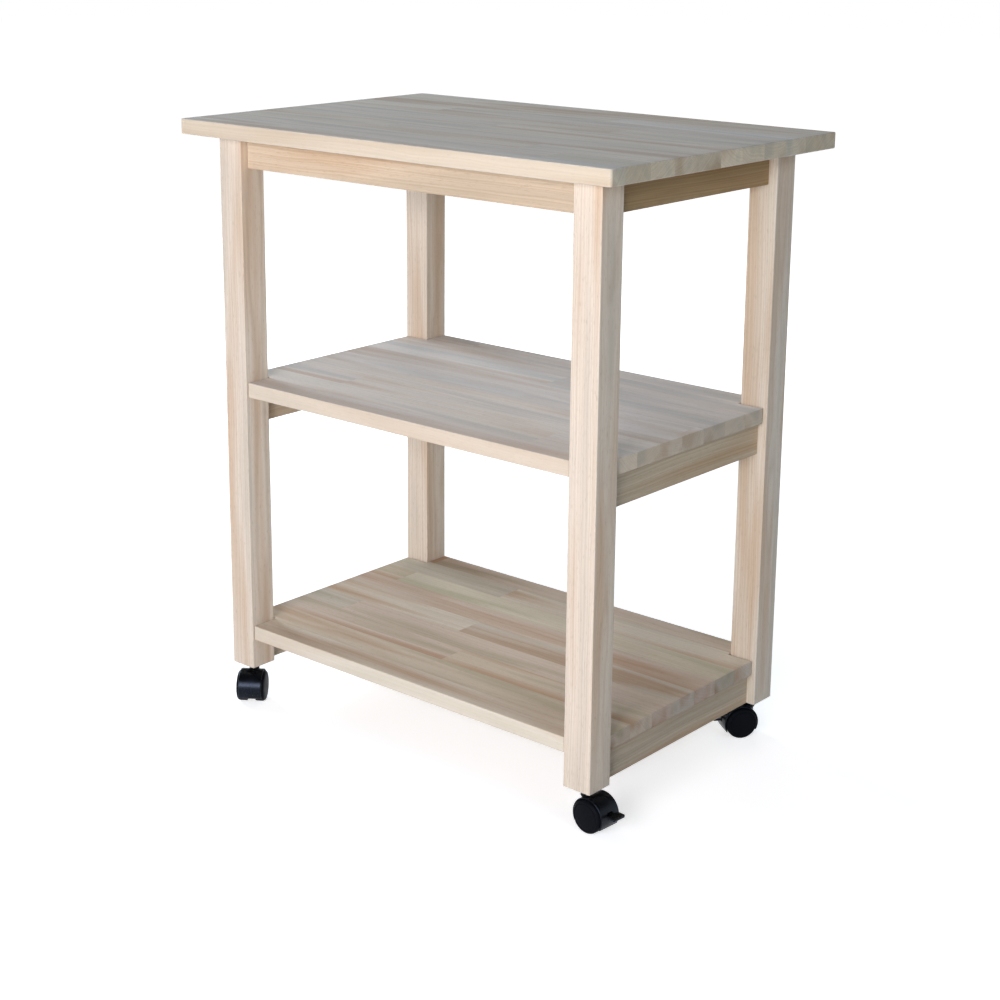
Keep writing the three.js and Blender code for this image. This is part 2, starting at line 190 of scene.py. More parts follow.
def new_tree(name: str, **inputs: str) -> tuple[Tree, bpy.types.NodeOutputs]:
    """Makes an empty Geometry Nodes tree.

    Args:
        name: the tree's name.
        inputs: each input's name, with _ for a space, and its type, after the geometry.

    Returns:
        The tree and what its inputs give.
    """
    tree = bpy.data.node_groups.new(name, "GeometryNodeTree")
    tree.interface.new_socket("Geometry", in_out="OUTPUT", socket_type="NodeSocketGeometry")
    tree.interface.new_socket("Geometry", in_out="INPUT", socket_type="NodeSocketGeometry")
    for label, kind in inputs.items():
        label = label.replace("_", " ")
        tree.interface.new_socket(label, in_out="INPUT", socket_type=f"NodeSocket{kind}")
    return tree, add_node(tree, "NodeGroupInput").outputs


def end_tree(tree: Tree, geometry: Socket, finish: Socket) -> Tree:
    """Ends a tree in Realize Instances and Set Material.

    Args:
        tree: the tree.
        geometry: what the tree has made.
        finish: the material.

    Returns:
        The tree.
    """
    real = add_node(tree, "GeometryNodeRealizeInstances", {"Geometry": geometry}).outputs[0]
    dressed = add_node(tree, "GeometryNodeSetMaterial", {"Geometry": real, "Material": finish})
    add_node(tree, "NodeGroupOutput", {"Geometry": dressed.outputs[0]})
    return tree


def turned_tree() -> Tree:
    """Makes the tree that turns a profile about Z.

    The input is a mesh of points in order along the profile, x their radius and z their height.

    Returns:
        The tree, with inputs Steps, Crease and Finish.
    """
    tree, given = new_tree("turned piece", Steps="Int", Crease="Float", Finish="Material")
    profile, steps = given["Geometry"], given["Steps"]
    size = add_node(tree, "GeometryNodeAttributeDomainSize", {"Geometry": profile}).outputs
    rows = size["Point Count"]
    columns = add_node(tree, MATH, {0: steps, 1: 1.0}, operation="ADD").outputs[0]
    grid = add_node(tree, "GeometryNodeMeshGrid", {"Vertices X": columns, "Vertices Y": rows})
    index = add_node(tree, "GeometryNodeInputIndex").outputs[0]
    row = add_node(tree, MATH, {0: index, 1: rows}, operation="MODULO").outputs[0]
    share = add_node(tree, MATH, {0: index, 1: rows}, operation="DIVIDE").outputs[0]
    column = add_node(tree, MATH, {0: share}, operation="FLOOR").outputs[0]
    part = add_node(tree, MATH, {0: column, 1: steps}, operation="DIVIDE").outputs[0]
    angle = add_node(tree, MATH, {0: part, 1: math.tau}, operation="MULTIPLY").outputs[0]
    place = add_node(tree, "GeometryNodeInputPosition").outputs[0]
    corner = add_node(
        tree,
        "GeometryNodeSampleIndex",
        {"Geometry": profile, "Value": place, "Index": row},
        data_type="FLOAT_VECTOR",
        domain="POINT",
    ).outputs["Value"]
    swung = add_node(
        tree, "ShaderNodeVectorRotate", {"Vector": corner, "Angle": angle}, rotation_type="Z_AXIS"
    ).outputs[0]
    bent = add_node(
        tree, "GeometryNodeSetPosition", {"Geometry": grid.outputs["Mesh"], "Position": swung}
    ).outputs[0]
    closed = add_node(
        tree, "GeometryNodeMergeByDistance", {"Geometry": bent, "Distance": 1e-6}
    ).outputs[0]
    bend = add_node(tree, "GeometryNodeInputMeshEdgeAngle").outputs["Unsigned Angle"]
    soft = add_node(
        tree, "FunctionNodeCompare", {"A": bend, "B": given["Crease"]}, operation="LESS_THAN"
    ).outputs["Result"]
    smooth = "GeometryNodeSetShadeSmooth"
    faces = add_node(tree, smooth, {"Geometry": closed}, domain="FACE").outputs[0]
    edges = add_node(tree, smooth, {"Geometry": faces, "Shade Smooth": soft}, domain="EDGE")
    return end_tree(tree, edges.outputs[0], given["Finish"])


def hood_tree() -> Tree:
    """Makes the tree that bends a strip round the axle.

    The input is a closed loop of edges, the strip's section: x points outwards, y along the axle.

    Returns:
        The tree, with inputs Radius, Start, Sweep, Steps and Finish.
    """
    tree, given = new_tree(
        "hood band", Radius="Float", Start="Float", Sweep="Float", Steps="Int", Finish="Material"
    )
    arc_inputs = {
        "Resolution": given["Steps"],
        "Radius": given["Radius"],
        "Start Angle": given["Start"],
        "Sweep Angle": given["Sweep"],
    }
    path = add_node(tree, "GeometryNodeCurveArc", arc_inputs, mode="RADIUS").outputs["Curve"]
    section = add_node(tree, "GeometryNodeMeshToCurve", {"Mesh": given["Geometry"]}).outputs[0]
    band = add_node(
        tree,
        "GeometryNodeCurveToMesh",
        {"Curve": path, "Profile Curve": section, "Fill Caps": True},
    )
    return end_tree(tree, band.outputs["Mesh"], given["Finish"])


def spoke_tree() -> Tree:
    """Makes the tree that sets ribs like spokes about Z, between a hub and a rim.

    Returns:
        The tree, with inputs Count, Reach, Lift, Rib Size and Finish.
    """
    tree, given = new_tree(
        "spokes", Count="Int", Reach="Float", Lift="Float", Rib_Size="Vector", Finish="Material"
    )
    count = given["Count"]
    ring = add_node(tree, "GeometryNodeMeshCircle", {"Vertices": count, "Radius": given["Reach"]})
    lift = add_node(tree, "ShaderNodeCombineXYZ", {"Z": given["Lift"]}).outputs[0]
    raised = add_node(
        tree, "GeometryNodeSetPosition", {"Geometry": ring.outputs["Mesh"], "Offset": lift}
    ).outputs[0]
    rib = add_node(tree, "GeometryNodeMeshCube", {"Size": given["Rib Size"]}).outputs["Mesh"]
    index = add_node(tree, "GeometryNodeInputIndex").outputs[0]
    part = add_node(tree, MATH, {0: index, 1: count}, operation="DIVIDE").outputs[0]
    angle = add_node(tree, MATH, {0: part, 1: math.tau}, operation="MULTIPLY").outputs[0]
    turn = add_node(tree, "ShaderNodeCombineXYZ", {"Z": angle}).outputs[0]
    spokes = add_node(
        tree,
        "GeometryNodeInstanceOnPoints",
        {"Points": raised, "Instance": rib, "Rotation": turn},
    ).outputs[0]
    both = add_node(tree, "GeometryNodeJoinGeometry")
    for geometry in (given["Geometry"], spokes):
        tree.links.new(geometry, both.inputs[0])
    return end_tree(tree, both.outputs[0], given["Finish"])


def fastener_tree() -> Tree:
    """Makes the tree that sets a fastener on each point, by the point's heading and a random spin.

    Returns:
        The tree, with inputs Fastener, Spin, Seed and Finish.
    """
    tree, given = new_tree(
        "fasteners", Fastener="Object", Spin="Vector", Seed="Int", Finish="Material"
    )
    heading = add_node(tree, "GeometryNodeInputNamedAttribute", {"Name": "heading"})
    turn = add_node(tree, "ShaderNodeCombineXYZ", {"Z": heading.outputs["Attribute"]}).outputs[0]
    shape = add_node(tree, "GeometryNodeObjectInfo", {"Object": given["Fastener"]})
    set_out = add_node(
        tree,
        "GeometryNodeInstanceOnPoints",
        {"Points": given["Geometry"], "Instance": shape.outputs["Geometry"], "Rotation": turn},
    ).outputs[0]
    chance = add_node(
        tree, "FunctionNodeRandomValue", {"Max": math.tau, "Seed": given["Seed"]}, data_type="FLOAT"
    ).outputs["Value"]
    spin = add_node(tree, VECTOR, {0: given["Spin"], "Scale": chance}, operation="SCALE").outputs[0]
    spun = add_node(
        tree,
        "GeometryNodeRotateInstances",
        {"Instances": set_out, "Rotation": spin, "Local Space": True},
    ).outputs[0]
    return end_tree(tree, spun, given["Finish"])


# ---- Meshes ----


def put_in_scene(name: str, data: bpy.types.ID) -> bpy.types.Object:
    """Puts an object with the given data in the scene.

    Args:
        name: the object's name.
        data: its mesh, lamp or camera.

    Returns:
        The object.
    """
    thing = bpy.data.objects.new(name, data)
    bpy.context.scene.collection.objects.link(thing)
    return thing


def arc(
    radius: float, start: float, end: float, steps: int, centre: Point = (0.0, 0.0)
) -> list[Point]:
    """Gives points along an arc.

    Args:
        radius: the arc's radius.
        start: where it starts, in degrees from +X towards +Y.
        end: where it ends.
        steps: how many edges it has.
        centre: its centre.

    Returns:
        The points, one more than the edges.
    """
    angles = [math.radians(start + (end - start) * i / steps) for i in range(steps + 1)]
    x, y = centre
    return [(x + radius * math.cos(a), y + radius * math.sin(a)) for a in angles]


def rounded_rectangle(width: float, depth: float, radius: float, steps: int) -> list[Point]:
    """Gives the corners of a rectangle with rounded corners, centred on the origin.

    Args:
        width: its size along x.
        depth: its size along y.
        radius: the corners' radius.
        steps: how many edges each corner has.

    Returns:
        The corners, turning from +X to +Y.
    """
    x, y = width / 2 - radius, depth / 2 - radius
    centres = ((x, y), (-x, y), (-x, -y), (x, -y))
    return [
        point
        for i, centre in enumerate(centres)
        for point in arc(radius, 90 * i, 90 * (i + 1), steps, centre)
    ]


def written(build: bmesh.types.BMesh, mesh: Mesh) -> Mesh:
    """Writes a bmesh to a mesh, with its faces pointing outwards, and frees it.

    Args:
        build: the bmesh.
        mesh: the mesh that gets it.

    Returns:
        The mesh.
    """
    bmesh.ops.recalc_face_normals(build, faces=build.faces)
    build.to_mesh(mesh)
    build.free()
    return mesh


def prism(outline: Sequence[Point], low: float, high: float) -> Mesh:
    """Raises a closed outline into a solid.

    Args:
        outline: the corners in x and y, in millimetres.
        low: the lower face's height, in millimetres.
        high: the upper face's height, in millimetres.

    Returns:
        The mesh, in metres.
    """
    build = bmesh.new()
    floor, roof = (
        [build.verts.new((x * MM, y * MM, z * MM)) for x, y in outline] for z in (low, high)
    )
    build.faces.new(floor[::-1])
    build.faces.new(roof)
    for i in range(len(outline)):
        j = (i + 1) % len(outline)
        build.faces.new((floor[i], floor[j], roof[j], roof[i]))
    return written(build, bpy.data.meshes.new("prism"))


def settled(mesh: Mesh, **modifiers: dict[str, Any]) -> Mesh:
    """Applies modifiers to a mesh.

    Args:
        mesh: the mesh to change.
        modifiers: each modifier's type and its properties, in order. The property called inputs
            has the named inputs of its Geometry Nodes tree.

    Returns:
        The plain mesh that results.
    """
    carrier = put_in_scene(mesh.name, mesh)
    for kind, settings in modifiers.items():
        modifier = carrier.modifiers.new(kind.lower(), kind)
        for name, value in settings.items():
            if name != "inputs":
                setattr(modifier, name, value)
        if "inputs" in settings:
            for item in modifier.node_group.interface.items_tree:
                if item.in_out == "INPUT" and item.name in settings["inputs"]:
                    modifier[item.identifier] = settings["inputs"][item.name]
    bpy.context.view_layer.update()
    graph = bpy.context.evaluated_depsgraph_get()
    result = bpy.data.meshes.new_from_object(carrier.evaluated_get(graph), depsgraph=graph)
    bpy.data.objects.remove(carrier)
    return result


def eased(mesh: Mesh, radius: float, steps: int = 3) -> Mesh:
    """Rounds a solid's sharp edges, as sandpaper or a mould does.

    Args:
        mesh: the solid.
        radius: the rounding's radius, in millimetres.
        steps: how many edges each rounding has.

    Returns:
        The rounded mesh.
    """
    mesh.shade_smooth()
    bevel = {
        "width": radius * MM,
        "segments": steps,
        "limit_method": "ANGLE",
        "angle_limit": math.radians(40),
        "use_clamp_overlap": True,
    }
    return settled(mesh, BEVEL=bevel, WEIGHTED_NORMAL={"keep_sharp": False})


def slab(size: Point, span: Point, corners: Rounding, ease: Rounding) -> Mesh:
    """Makes a flat piece with rounded corners and eased edges.

    Args:
        size: its width and depth, in millimetres.
        span: the heights of its lower and upper face, in millimetres.
        corners: how its four corners are rounded.
        ease: how its edges are rounded.

    Returns:
        The mesh, centred on Z.
    """
    return eased(prism(rounded_rectangle(*size, *corners), *span), *ease)


def joined(*meshes: Mesh) -> Mesh:
    """Puts several meshes into one, each keeping its own faces.

    Args:
        meshes: the meshes.

    Returns:
        One mesh.
    """
    carriers = [put_in_scene(mesh.name, mesh) for mesh in meshes]
    first = carriers[0]
    with bpy.context.temp_override(
        active_object=first, object=first, selected_editable_objects=carriers
    ):
        bpy.ops.object.join()
    mesh = first.data
    bpy.data.objects.remove(first)
    return mesh


def moved(mesh: Mesh, turn_deg: Place = (0, 0, 0), shift: Place = (0, 0, 0)) -> Mesh:
    """Turns a mesh about the origin and then shifts it.

    Args:
        mesh: the mesh, changed in place.
        turn_deg: turns about x, y and z, in degrees.
        shift: the shift, in millimetres.

    Returns:
        The same mesh.
    """
    turn = Euler([math.radians(a) for a in turn_deg]).to_matrix().to_4x4()
    mesh.transform(Matrix.Translation(Vector(shift) * MM) @ turn)
    return mesh


def cut_away(mesh: Mesh, outline: Sequence[Point], span: Point, shift: Place = (0, 0, 0)) -> Mesh:
    """Cuts an upright hole into a closed mesh.

    Args:
        mesh: the solid.
        outline: the hole's outline, in millimetres.
        span: the heights between which it cuts, in millimetres.
        shift: how far the hole is moved, in millimetres.

    Returns:
        What is left of the solid.
    """
    cutter = put_in_scene("cutter", moved(prism(outline, *span), shift=shift))
    cut = {"operation": "DIFFERENCE", "solver": "EXACT", "object": cutter}
    result = settled(mesh, BOOLEAN=cut)
    bpy.data.objects.remove(cutter)
    return result


def turned(tree: Tree, profile: Sequence[Point], steps: int, finish: Material) -> Mesh:
    """Turns a profile about Z.

    Args:
        tree: the turning tree.
        profile: corners of radius and height, in millimetres.
        steps: how many sides the round has.
        finish: the material.

    Returns:
        The turned mesh, sharp where it bends by more than 32 degrees.
    """
    mesh = bpy.data.meshes.new("profile")
    mesh.from_pydata([(r * MM, 0, z * MM) for r, z in profile], [], [])
    inputs = {"Steps": steps, "Crease": math.radians(32), "Finish": finish}
    result = settled(mesh, NODES={"node_group": tree, "inputs": inputs})
    build = bmesh.new()
    build.from_mesh(result)
    return written(build, result)


def set_on_points(
    tree: Tree,
    shape: Mesh,
    places: Sequence[tuple[Place, float]],
    spin: Place,
    seed: int,
    finish: Material,
) -> Mesh:
    """Sets a copy of a shape on each place.

    Args:
        tree: the setting-out tree.
        shape: the shape, at the origin.
        places: where each copy goes, in millimetres, and its turn about Z, in radians.
        spin: the shape's own axis, about which each copy is turned at random, or zeros.
        seed: the seed for those turns.
        finish: the material.

    Returns:
        One mesh with all the copies.
    """
    model = put_in_scene("model", shape)
    points = bpy.data.meshes.new("points")
    points.from_pydata([Vector(place) * MM for place, _ in places], [], [])
    headings = points.attributes.new("heading", "FLOAT", "POINT")
    headings.data.foreach_set("value", [heading for _, heading in places])
    inputs = {"Fastener": model, "Spin": spin, "Seed": seed, "Finish": finish}
    result = settled(points, NODES={"node_group": tree, "inputs": inputs})
    bpy.data.objects.remove(model)
    return result


# ---- Finishes ----


@dataclass(frozen=True)
class Rubberwood:
    """Bare rubberwood, planed and sanded: matt and pale, with short dark pores along the grain.

    Boards are glued up from staves that differ a little in tint, laid end to end and side by side.
    A post or a rail is one stave. The figure is a solid pattern, so that ends show rings and pores.
    """

    name: str
    grain: Grain
    pale: str = "#E9DED0"  # the ground colour
    figure: str = "#CFBFAB"  # the darker bands of the growth rings
    warm: str = "#F3E6DA"  # broad streaks of the heart side
    cool: str = "#F2F3F3"  # broad greyer streaks
    pore: str = "#A58D70"
    tints: tuple[str, ...] = ("#FFFFFF", "#FAF4EF", "#FCF8F1", "#F6F3F0", "#FBF5EC")  # by stave
    wide: str = "#FFFFFF"  # painted light: laid over a board's wide faces, for how differently the light falls on them than on the sides
    side: str = "#FFFFFF"  # painted light: laid over its narrow sides and ends, for how differently the light falls on them than on the wide faces
    calm: float = 0.0  # how much of the figure is lost on the sides, where it runs another way
    end: str = "#F6F6F8"  # laid over sawn ends, where the cut pores drink the light
    end_facing: Point = (0.6, 0.95)  # how far a sawn end faces along the grain, at least and fully
    end_spread: float = 0.1  # how much darker the darkest ends are, and half of how much lighter
    stave_mm: Place = (30000.0, 276.7, 200.0)  # length, width and thickness
    heart_mm: Place = (0.0, 20.0, 70.0)  # the tree's heart, from the stave's middle
    heart_spread_mm: Place = (0.0, 30.0, 40.0)
    ring_mm: float = 2.1  # half of the rings' spacing
    ring_ends: Point = (0.37, 0.65)  # the noise's values that give no band and a full one
    ring_weight: float = 0.58  # the rings' part of the figure, the rest being the fibres'
    waver_mm: float = 14.0  # how far the rings wander sideways
    waver_size_mm: Point = (300.0, 50.0)  # over what length and width
    figure_share: float = 0.75
    fibre_mm: Point = (100.0, 2.1)  # fine streaks, wider than real fibres so that they show
    fibre_ends: Point = (0.3, 0.7)
    pore_mm: Point = (9.0, 0.87)  # dashes about four times as wide as real pores, so that they show
    pore_ends: Point = (0.60, 0.74)
    pore_share: float = 0.35
    pore_depth: float = 0.8  # against the fibres' relief
    relief_mm: float = 0.15
    relief_strength: float = 0.35
    stain_mm: Point = (350.0, 25.0)
    stain_ends: Point = (0.25, 0.75)
    stain_stops: tuple[float, ...] = (0.15, 0.42, 0.5, 0.85)  # cool, twice plain, and warm
    glue: float = 0.0  # how dark the glue lines are
    glue_mm: Point = (0.1, 0.6)  # where a line starts to fade, and where it is gone
    roughness: Point = (0.73, 0.85)
    shine: float = 0.12  # the specular level
    scatter: Place = (7.0, 0.0, 0.0)  # how far apart the staves lie in the pattern, in metres
    seed: Place = (0.31, 0.17, 0.53)

    def build(self) -> Material:
        """Builds the material.

        Returns:
            The material.
        """
        material, tree = new_material(self.name)
        coordinates = add_node(tree, "ShaderNodeTexCoord").outputs
        normal = add_node(tree, "ShaderNodeSeparateXYZ", {0: coordinates["Normal"]}).outputs
        level, sideways, endways = (
            add_node(tree, MATH, {0: normal[axis]}, operation="ABSOLUTE").outputs[0]
            for axis in (2, 1, self.grain.value[0])
        )
        local, pick, inside = self.staves(tree, coordinates["Object"])
        choice = add_node(tree, "ShaderNodeSeparateColor", {"Color": pick}).outputs
        fibre = self.streaks(tree, local, self.fibre_mm, 4.0, self.fibre_ends)
        pores = self.streaks(tree, local, self.pore_mm, 1.0, self.pore_ends)
        pored = add_node(tree, MATH, {0: pores, 1: self.pore_share}, operation="MULTIPLY")
        layers = [
            self.figured(tree, self.rings(tree, local, pick), fibre),
            self.stained(tree, local),
            (pored.outputs[0], linear(self.pore), "MIX"),
        ]
        # The figure fades on the sides, and the wide faces and the sides get their painted light
        if self.calm:
            layers += self.calm_and_painted_face_light(tree, level, sideways)
        layers.append(self.tinted(tree, choice["Blue"]))
        if self.glue:
            layers.append(self.glued(tree, inside))
        layers.append(self.sawn(tree, endways, choice["Green"]))
        colour: Socket | Colour = linear(self.pale)
        for share, over, way in layers:
            inputs = {"Factor": share, 6: colour, 7: over}
            mix = add_node(tree, MIX, inputs, data_type="RGBA", blend_type=way)
            colour = mix.outputs[2]
        low, high = self.roughness
        rough = add_node(tree, RANGE, {"Value": fibre, "To Min": low, "To Max": high})
        relief = {0: pores, 1: -self.pore_depth, 2: fibre}
        height = add_node(tree, MATH, relief, operation="MULTIPLY_ADD").outputs[0]
        depth = {"Strength": self.relief_strength, "Distance": self.relief_mm * MM}
        bump = add_node(tree, "ShaderNodeBump", {"Height": height, **depth})
        surface = {
            "Base Color": colour,
            "Roughness": rough.outputs["Result"],
            "Normal": bump.outputs["Normal"],
            "IOR": 1.47,
            "Specular IOR Level": self.shine,
        }
        shader = add_node(tree, "ShaderNodeBsdfPrincipled", surface)
        add_node(tree, "ShaderNodeOutputMaterial", {"Surface": shader.outputs["BSDF"]})
        return material

    def streaks(
        self, tree: Tree, local: Socket, size_mm: Point, detail: float, ends: Point
    ) -> Socket:
        """Draws a noise that is stretched along the grain.

        Args:
            tree: the material's tree.
            local: the place inside the stave.
            size_mm: how long and how wide the streaks are.
            detail: how much finer detail they have.
            ends: the noise's values that give 0 and 1.

        Returns:
            The streaks' strength, from 0 to 1.
        """
        length, width = (1 / (size * MM) for size in size_mm)
        stretch = {0: local, 1: (length, width, width)}
        stretched = add_node(tree, VECTOR, stretch, operation="MULTIPLY").outputs[0]
        streak = {"Vector": stretched, "Scale": 1.0, "Detail": detail, "Roughness": 0.6}
        noise = add_node(tree, NOISE, streak).outputs[0]
        span = {"Value": noise, "From Min": ends[0], "From Max": ends[1]}
        return add_node(tree, RANGE, span).outputs["Result"]

    def staves(self, tree: Tree, place: Socket) -> tuple[Socket, Socket, Socket]:
        """Divides space into staves, each row of them shifted along by its own amount.

        Args:
            tree: the material's tree.
            place: the point's place.

        Returns:
            The place from the stave's middle, the stave's random colour, and the place from its
            corner.
        """
        length, width, thickness = size = tuple(edge * MM for edge in self.stave_mm)
        middle = (0.0, width / 2, thickness / 2)
        parts = add_node(tree, "ShaderNodeSeparateXYZ", {0: place}).outputs
        along = dict(enumerate(parts[axis] for axis in self.grain.value))
        turned_place = add_node(tree, "ShaderNodeCombineXYZ", along).outputs[0]
        offset = add_node(tree, VECTOR, {0: turned_place, 1: middle}, operation="ADD").outputs[0]
        crossways = {0: offset, 1: (0.0, 1.0, 1.0)}
        across = add_node(tree, VECTOR, crossways, operation="MULTIPLY").outputs[0]
        step = (1.0, width, thickness)
        row = add_node(tree, VECTOR, {0: across, 1: step}, operation="SNAP").outputs[0]
        row_key = add_node(tree, VECTOR, {0: row, 1: self.seed}, operation="ADD").outputs[0]
        row_pick = add_node(tree, "ShaderNodeTexWhiteNoise", {"Vector": row_key}).outputs["Color"]
        shift = {0: row_pick, 1: (length, 0.0, 0.0), 2: offset}
        slide = add_node(tree, VECTOR, shift, operation="MULTIPLY_ADD").outputs[0]
        cell = add_node(tree, VECTOR, {0: slide, 1: size}, operation="SNAP").outputs[0]
        cell_key = add_node(tree, VECTOR, {0: cell, 1: self.seed}, operation="ADD").outputs[0]
        pick = add_node(tree, "ShaderNodeTexWhiteNoise", {"Vector": cell_key}).outputs["Color"]
        inside = add_node(tree, VECTOR, {0: slide, 1: cell}, operation="SUBTRACT").outputs[0]
        centred = add_node(tree, VECTOR, {0: inside, 1: middle}, operation="SUBTRACT").outputs[0]
        spread = {0: pick, 1: self.scatter, 2: centred}
        local = add_node(tree, VECTOR, spread, operation="MULTIPLY_ADD").outputs[0]
        return local, pick, inside

    def rings(self, tree: Tree, local: Socket, pick: Socket) -> Socket:
        """Draws the growth rings about the stave's heart.

        Args:
            tree: the material's tree.
            local: the place from the stave's middle.
            pick: the stave's random colour, which places its heart.

        Returns:
            The rings' strength, from 0 to 1.
        """
        nearest, spread = (
            tuple(part * MM for part in place) for place in (self.heart_mm, self.heart_spread_mm)
        )
        drawn = {0: pick, 1: spread, 2: nearest}
        heart = add_node(tree, VECTOR, drawn, operation="MULTIPLY_ADD").outputs[0]
        reach = add_node(tree, VECTOR, {0: local, 1: heart}, operation="SUBTRACT").outputs[0]
        crossways = {0: reach, 1: (0.0, 1.0, 1.0)}
        flat = add_node(tree, VECTOR, crossways, operation="MULTIPLY").outputs[0]
        distance = add_node(tree, VECTOR, {0: flat}, operation="LENGTH").outputs["Value"]
        waver = self.streaks(tree, local, self.waver_size_mm, 2.0, (0.0, 1.0))
        wander = {0: waver, 1: self.waver_mm * MM, 2: distance}
        bent = add_node(tree, MATH, wander, operation="MULTIPLY_ADD").outputs[0]
        noise = {"W": bent, "Scale": 1 / (self.ring_mm * MM), "Detail": 1.0, "Roughness": 0.5}
        bands = add_node(tree, NOISE, noise, noise_dimensions="1D").outputs[0]
        span = {"Value": bands, "From Min": self.ring_ends[0], "From Max": self.ring_ends[1]}
        return add_node(tree, RANGE, span).outputs["Result"]

    def figured(self, tree: Tree, rings: Socket, fibre: Socket) -> Layer:
        """Lays the darker figure on the pale wood, by the rings and the fibres.

        Args:
            tree: the material's tree.
            rings: the rings' strength.
            fibre: the streaks' strength.

        Returns:
            The layer.
        """
        weight = self.ring_weight
        streaked = add_node(tree, MATH, {0: fibre, 1: 1 - weight}, operation="MULTIPLY").outputs[0]
        both = {0: rings, 1: weight, 2: streaked}
        mixed = add_node(tree, MATH, both, operation="MULTIPLY_ADD").outputs[0]
        share = add_node(
            tree, MATH, {0: mixed, 1: self.figure_share}, operation="MULTIPLY", use_clamp=True
        ).outputs[0]
        return share, linear(self.figure), "MIX"

    def stained(self, tree: Tree, local: Socket) -> Layer:
        """Warms and greys the wood in broad soft streaks.

        Args:
            tree: the material's tree.
            local: the place inside the stave.

        Returns:
            The layer.
        """
        streak = self.streaks(tree, local, self.stain_mm, 1.5, self.stain_ends)
        tone = add_node(tree, "ShaderNodeValToRGB", {"Fac": streak})
        colours = [linear(code) for code in (self.cool, "#FFFFFF", "#FFFFFF", self.warm)]
        set_ramp(tone, list(zip(self.stain_stops, colours)))
        return 1.0, tone.outputs["Color"], "MULTIPLY"

    def calm_and_painted_face_light(self, tree: Tree, level: Socket, sideways: Socket) -> list[Layer]:
        """Tones a level board's wide faces and its sides apart as painted light, and fades the
        figure on the sides.

        Args:
            tree: the material's tree.
            level: how far the surface faces up or down.
            sideways: how far it faces across the grain.

        Returns:
            Two layers: one fades the figure on the sides, and one tints each face as painted light.
        """
        faded = add_node(tree, MATH, {0: sideways, 1: self.calm}, operation="MULTIPLY")
        half = self.figure_share / 2
        middling = tuple(p + (f - p) * half for p, f in zip(linear(self.pale), linear(self.figure)))
        faces = {"Factor": level, 6: linear(self.side), 7: linear(self.wide)}
        tone = add_node(tree, MIX, faces, data_type="RGBA").outputs[2]
        return [(faded.outputs[0], middling, "MIX"), (1.0, tone, "MULTIPLY")]

    def tinted(self, tree: Tree, choice: Socket) -> Layer:
        """Gives each stave one of the tints.

        Args:
            tree: the material's tree.
            choice: the stave's random number.

        Returns:
            The layer.
        """
        tint = add_node(tree, "ShaderNodeValToRGB", {"Fac": choice})
        tint.color_ramp.interpolation = "CONSTANT"
        set_ramp(tint, [(i / len(self.tints), linear(code)) for i, code in enumerate(self.tints)])
        return 1.0, tint.outputs["Color"], "MULTIPLY"

    def glued(self, tree: Tree, inside: Socket) -> Layer:
        """Draws the thin glue lines between the rows of staves.

        Args:
            tree: the material's tree.
            inside: the place from the stave's corner.

        Returns:
            The layer.
        """
        across = add_node(tree, "ShaderNodeSeparateXYZ", {0: inside}).outputs["Y"]
        half = self.stave_mm[1] * MM / 2
        to_line = add_node(tree, MATH, {0: across, 1: half}, operation="PINGPONG")
        near, far = (reach * MM for reach in self.glue_mm)
        fade = {"From Min": near, "From Max": far, "To Min": self.glue, "To Max": 0.0}
        line = add_node(tree, RANGE, {"Value": to_line.outputs[0], **fade})
        return line.outputs["Result"], linear(self.pore), "MIX"

    def sawn(self, tree: Tree, endways: Socket, choice: Socket) -> Layer:
        """Tones sawn ends, lighter on some staves and darker on others.

        Args:
            tree: the material's tree.
            endways: how far the surface faces along the grain.
            choice: the stave's random number.

        Returns:
            The layer.
        """
        low, high = self.end_facing
        share = add_node(tree, RANGE, {"Value": endways, "From Min": low, "From Max": high})
        spread = {"To Min": 1 - self.end_spread, "To Max": 1 + 2 * self.end_spread}
        light = add_node(tree, RANGE, {"Value": choice, **spread}).outputs["Result"]
        inputs = {"Factor": 1.0, 6: linear(self.end), 7: light}
        end = add_node(tree, MIX, inputs, data_type="RGBA", blend_type="MULTIPLY")
        return share.outputs["Result"], end.outputs[2], "MULTIPLY"


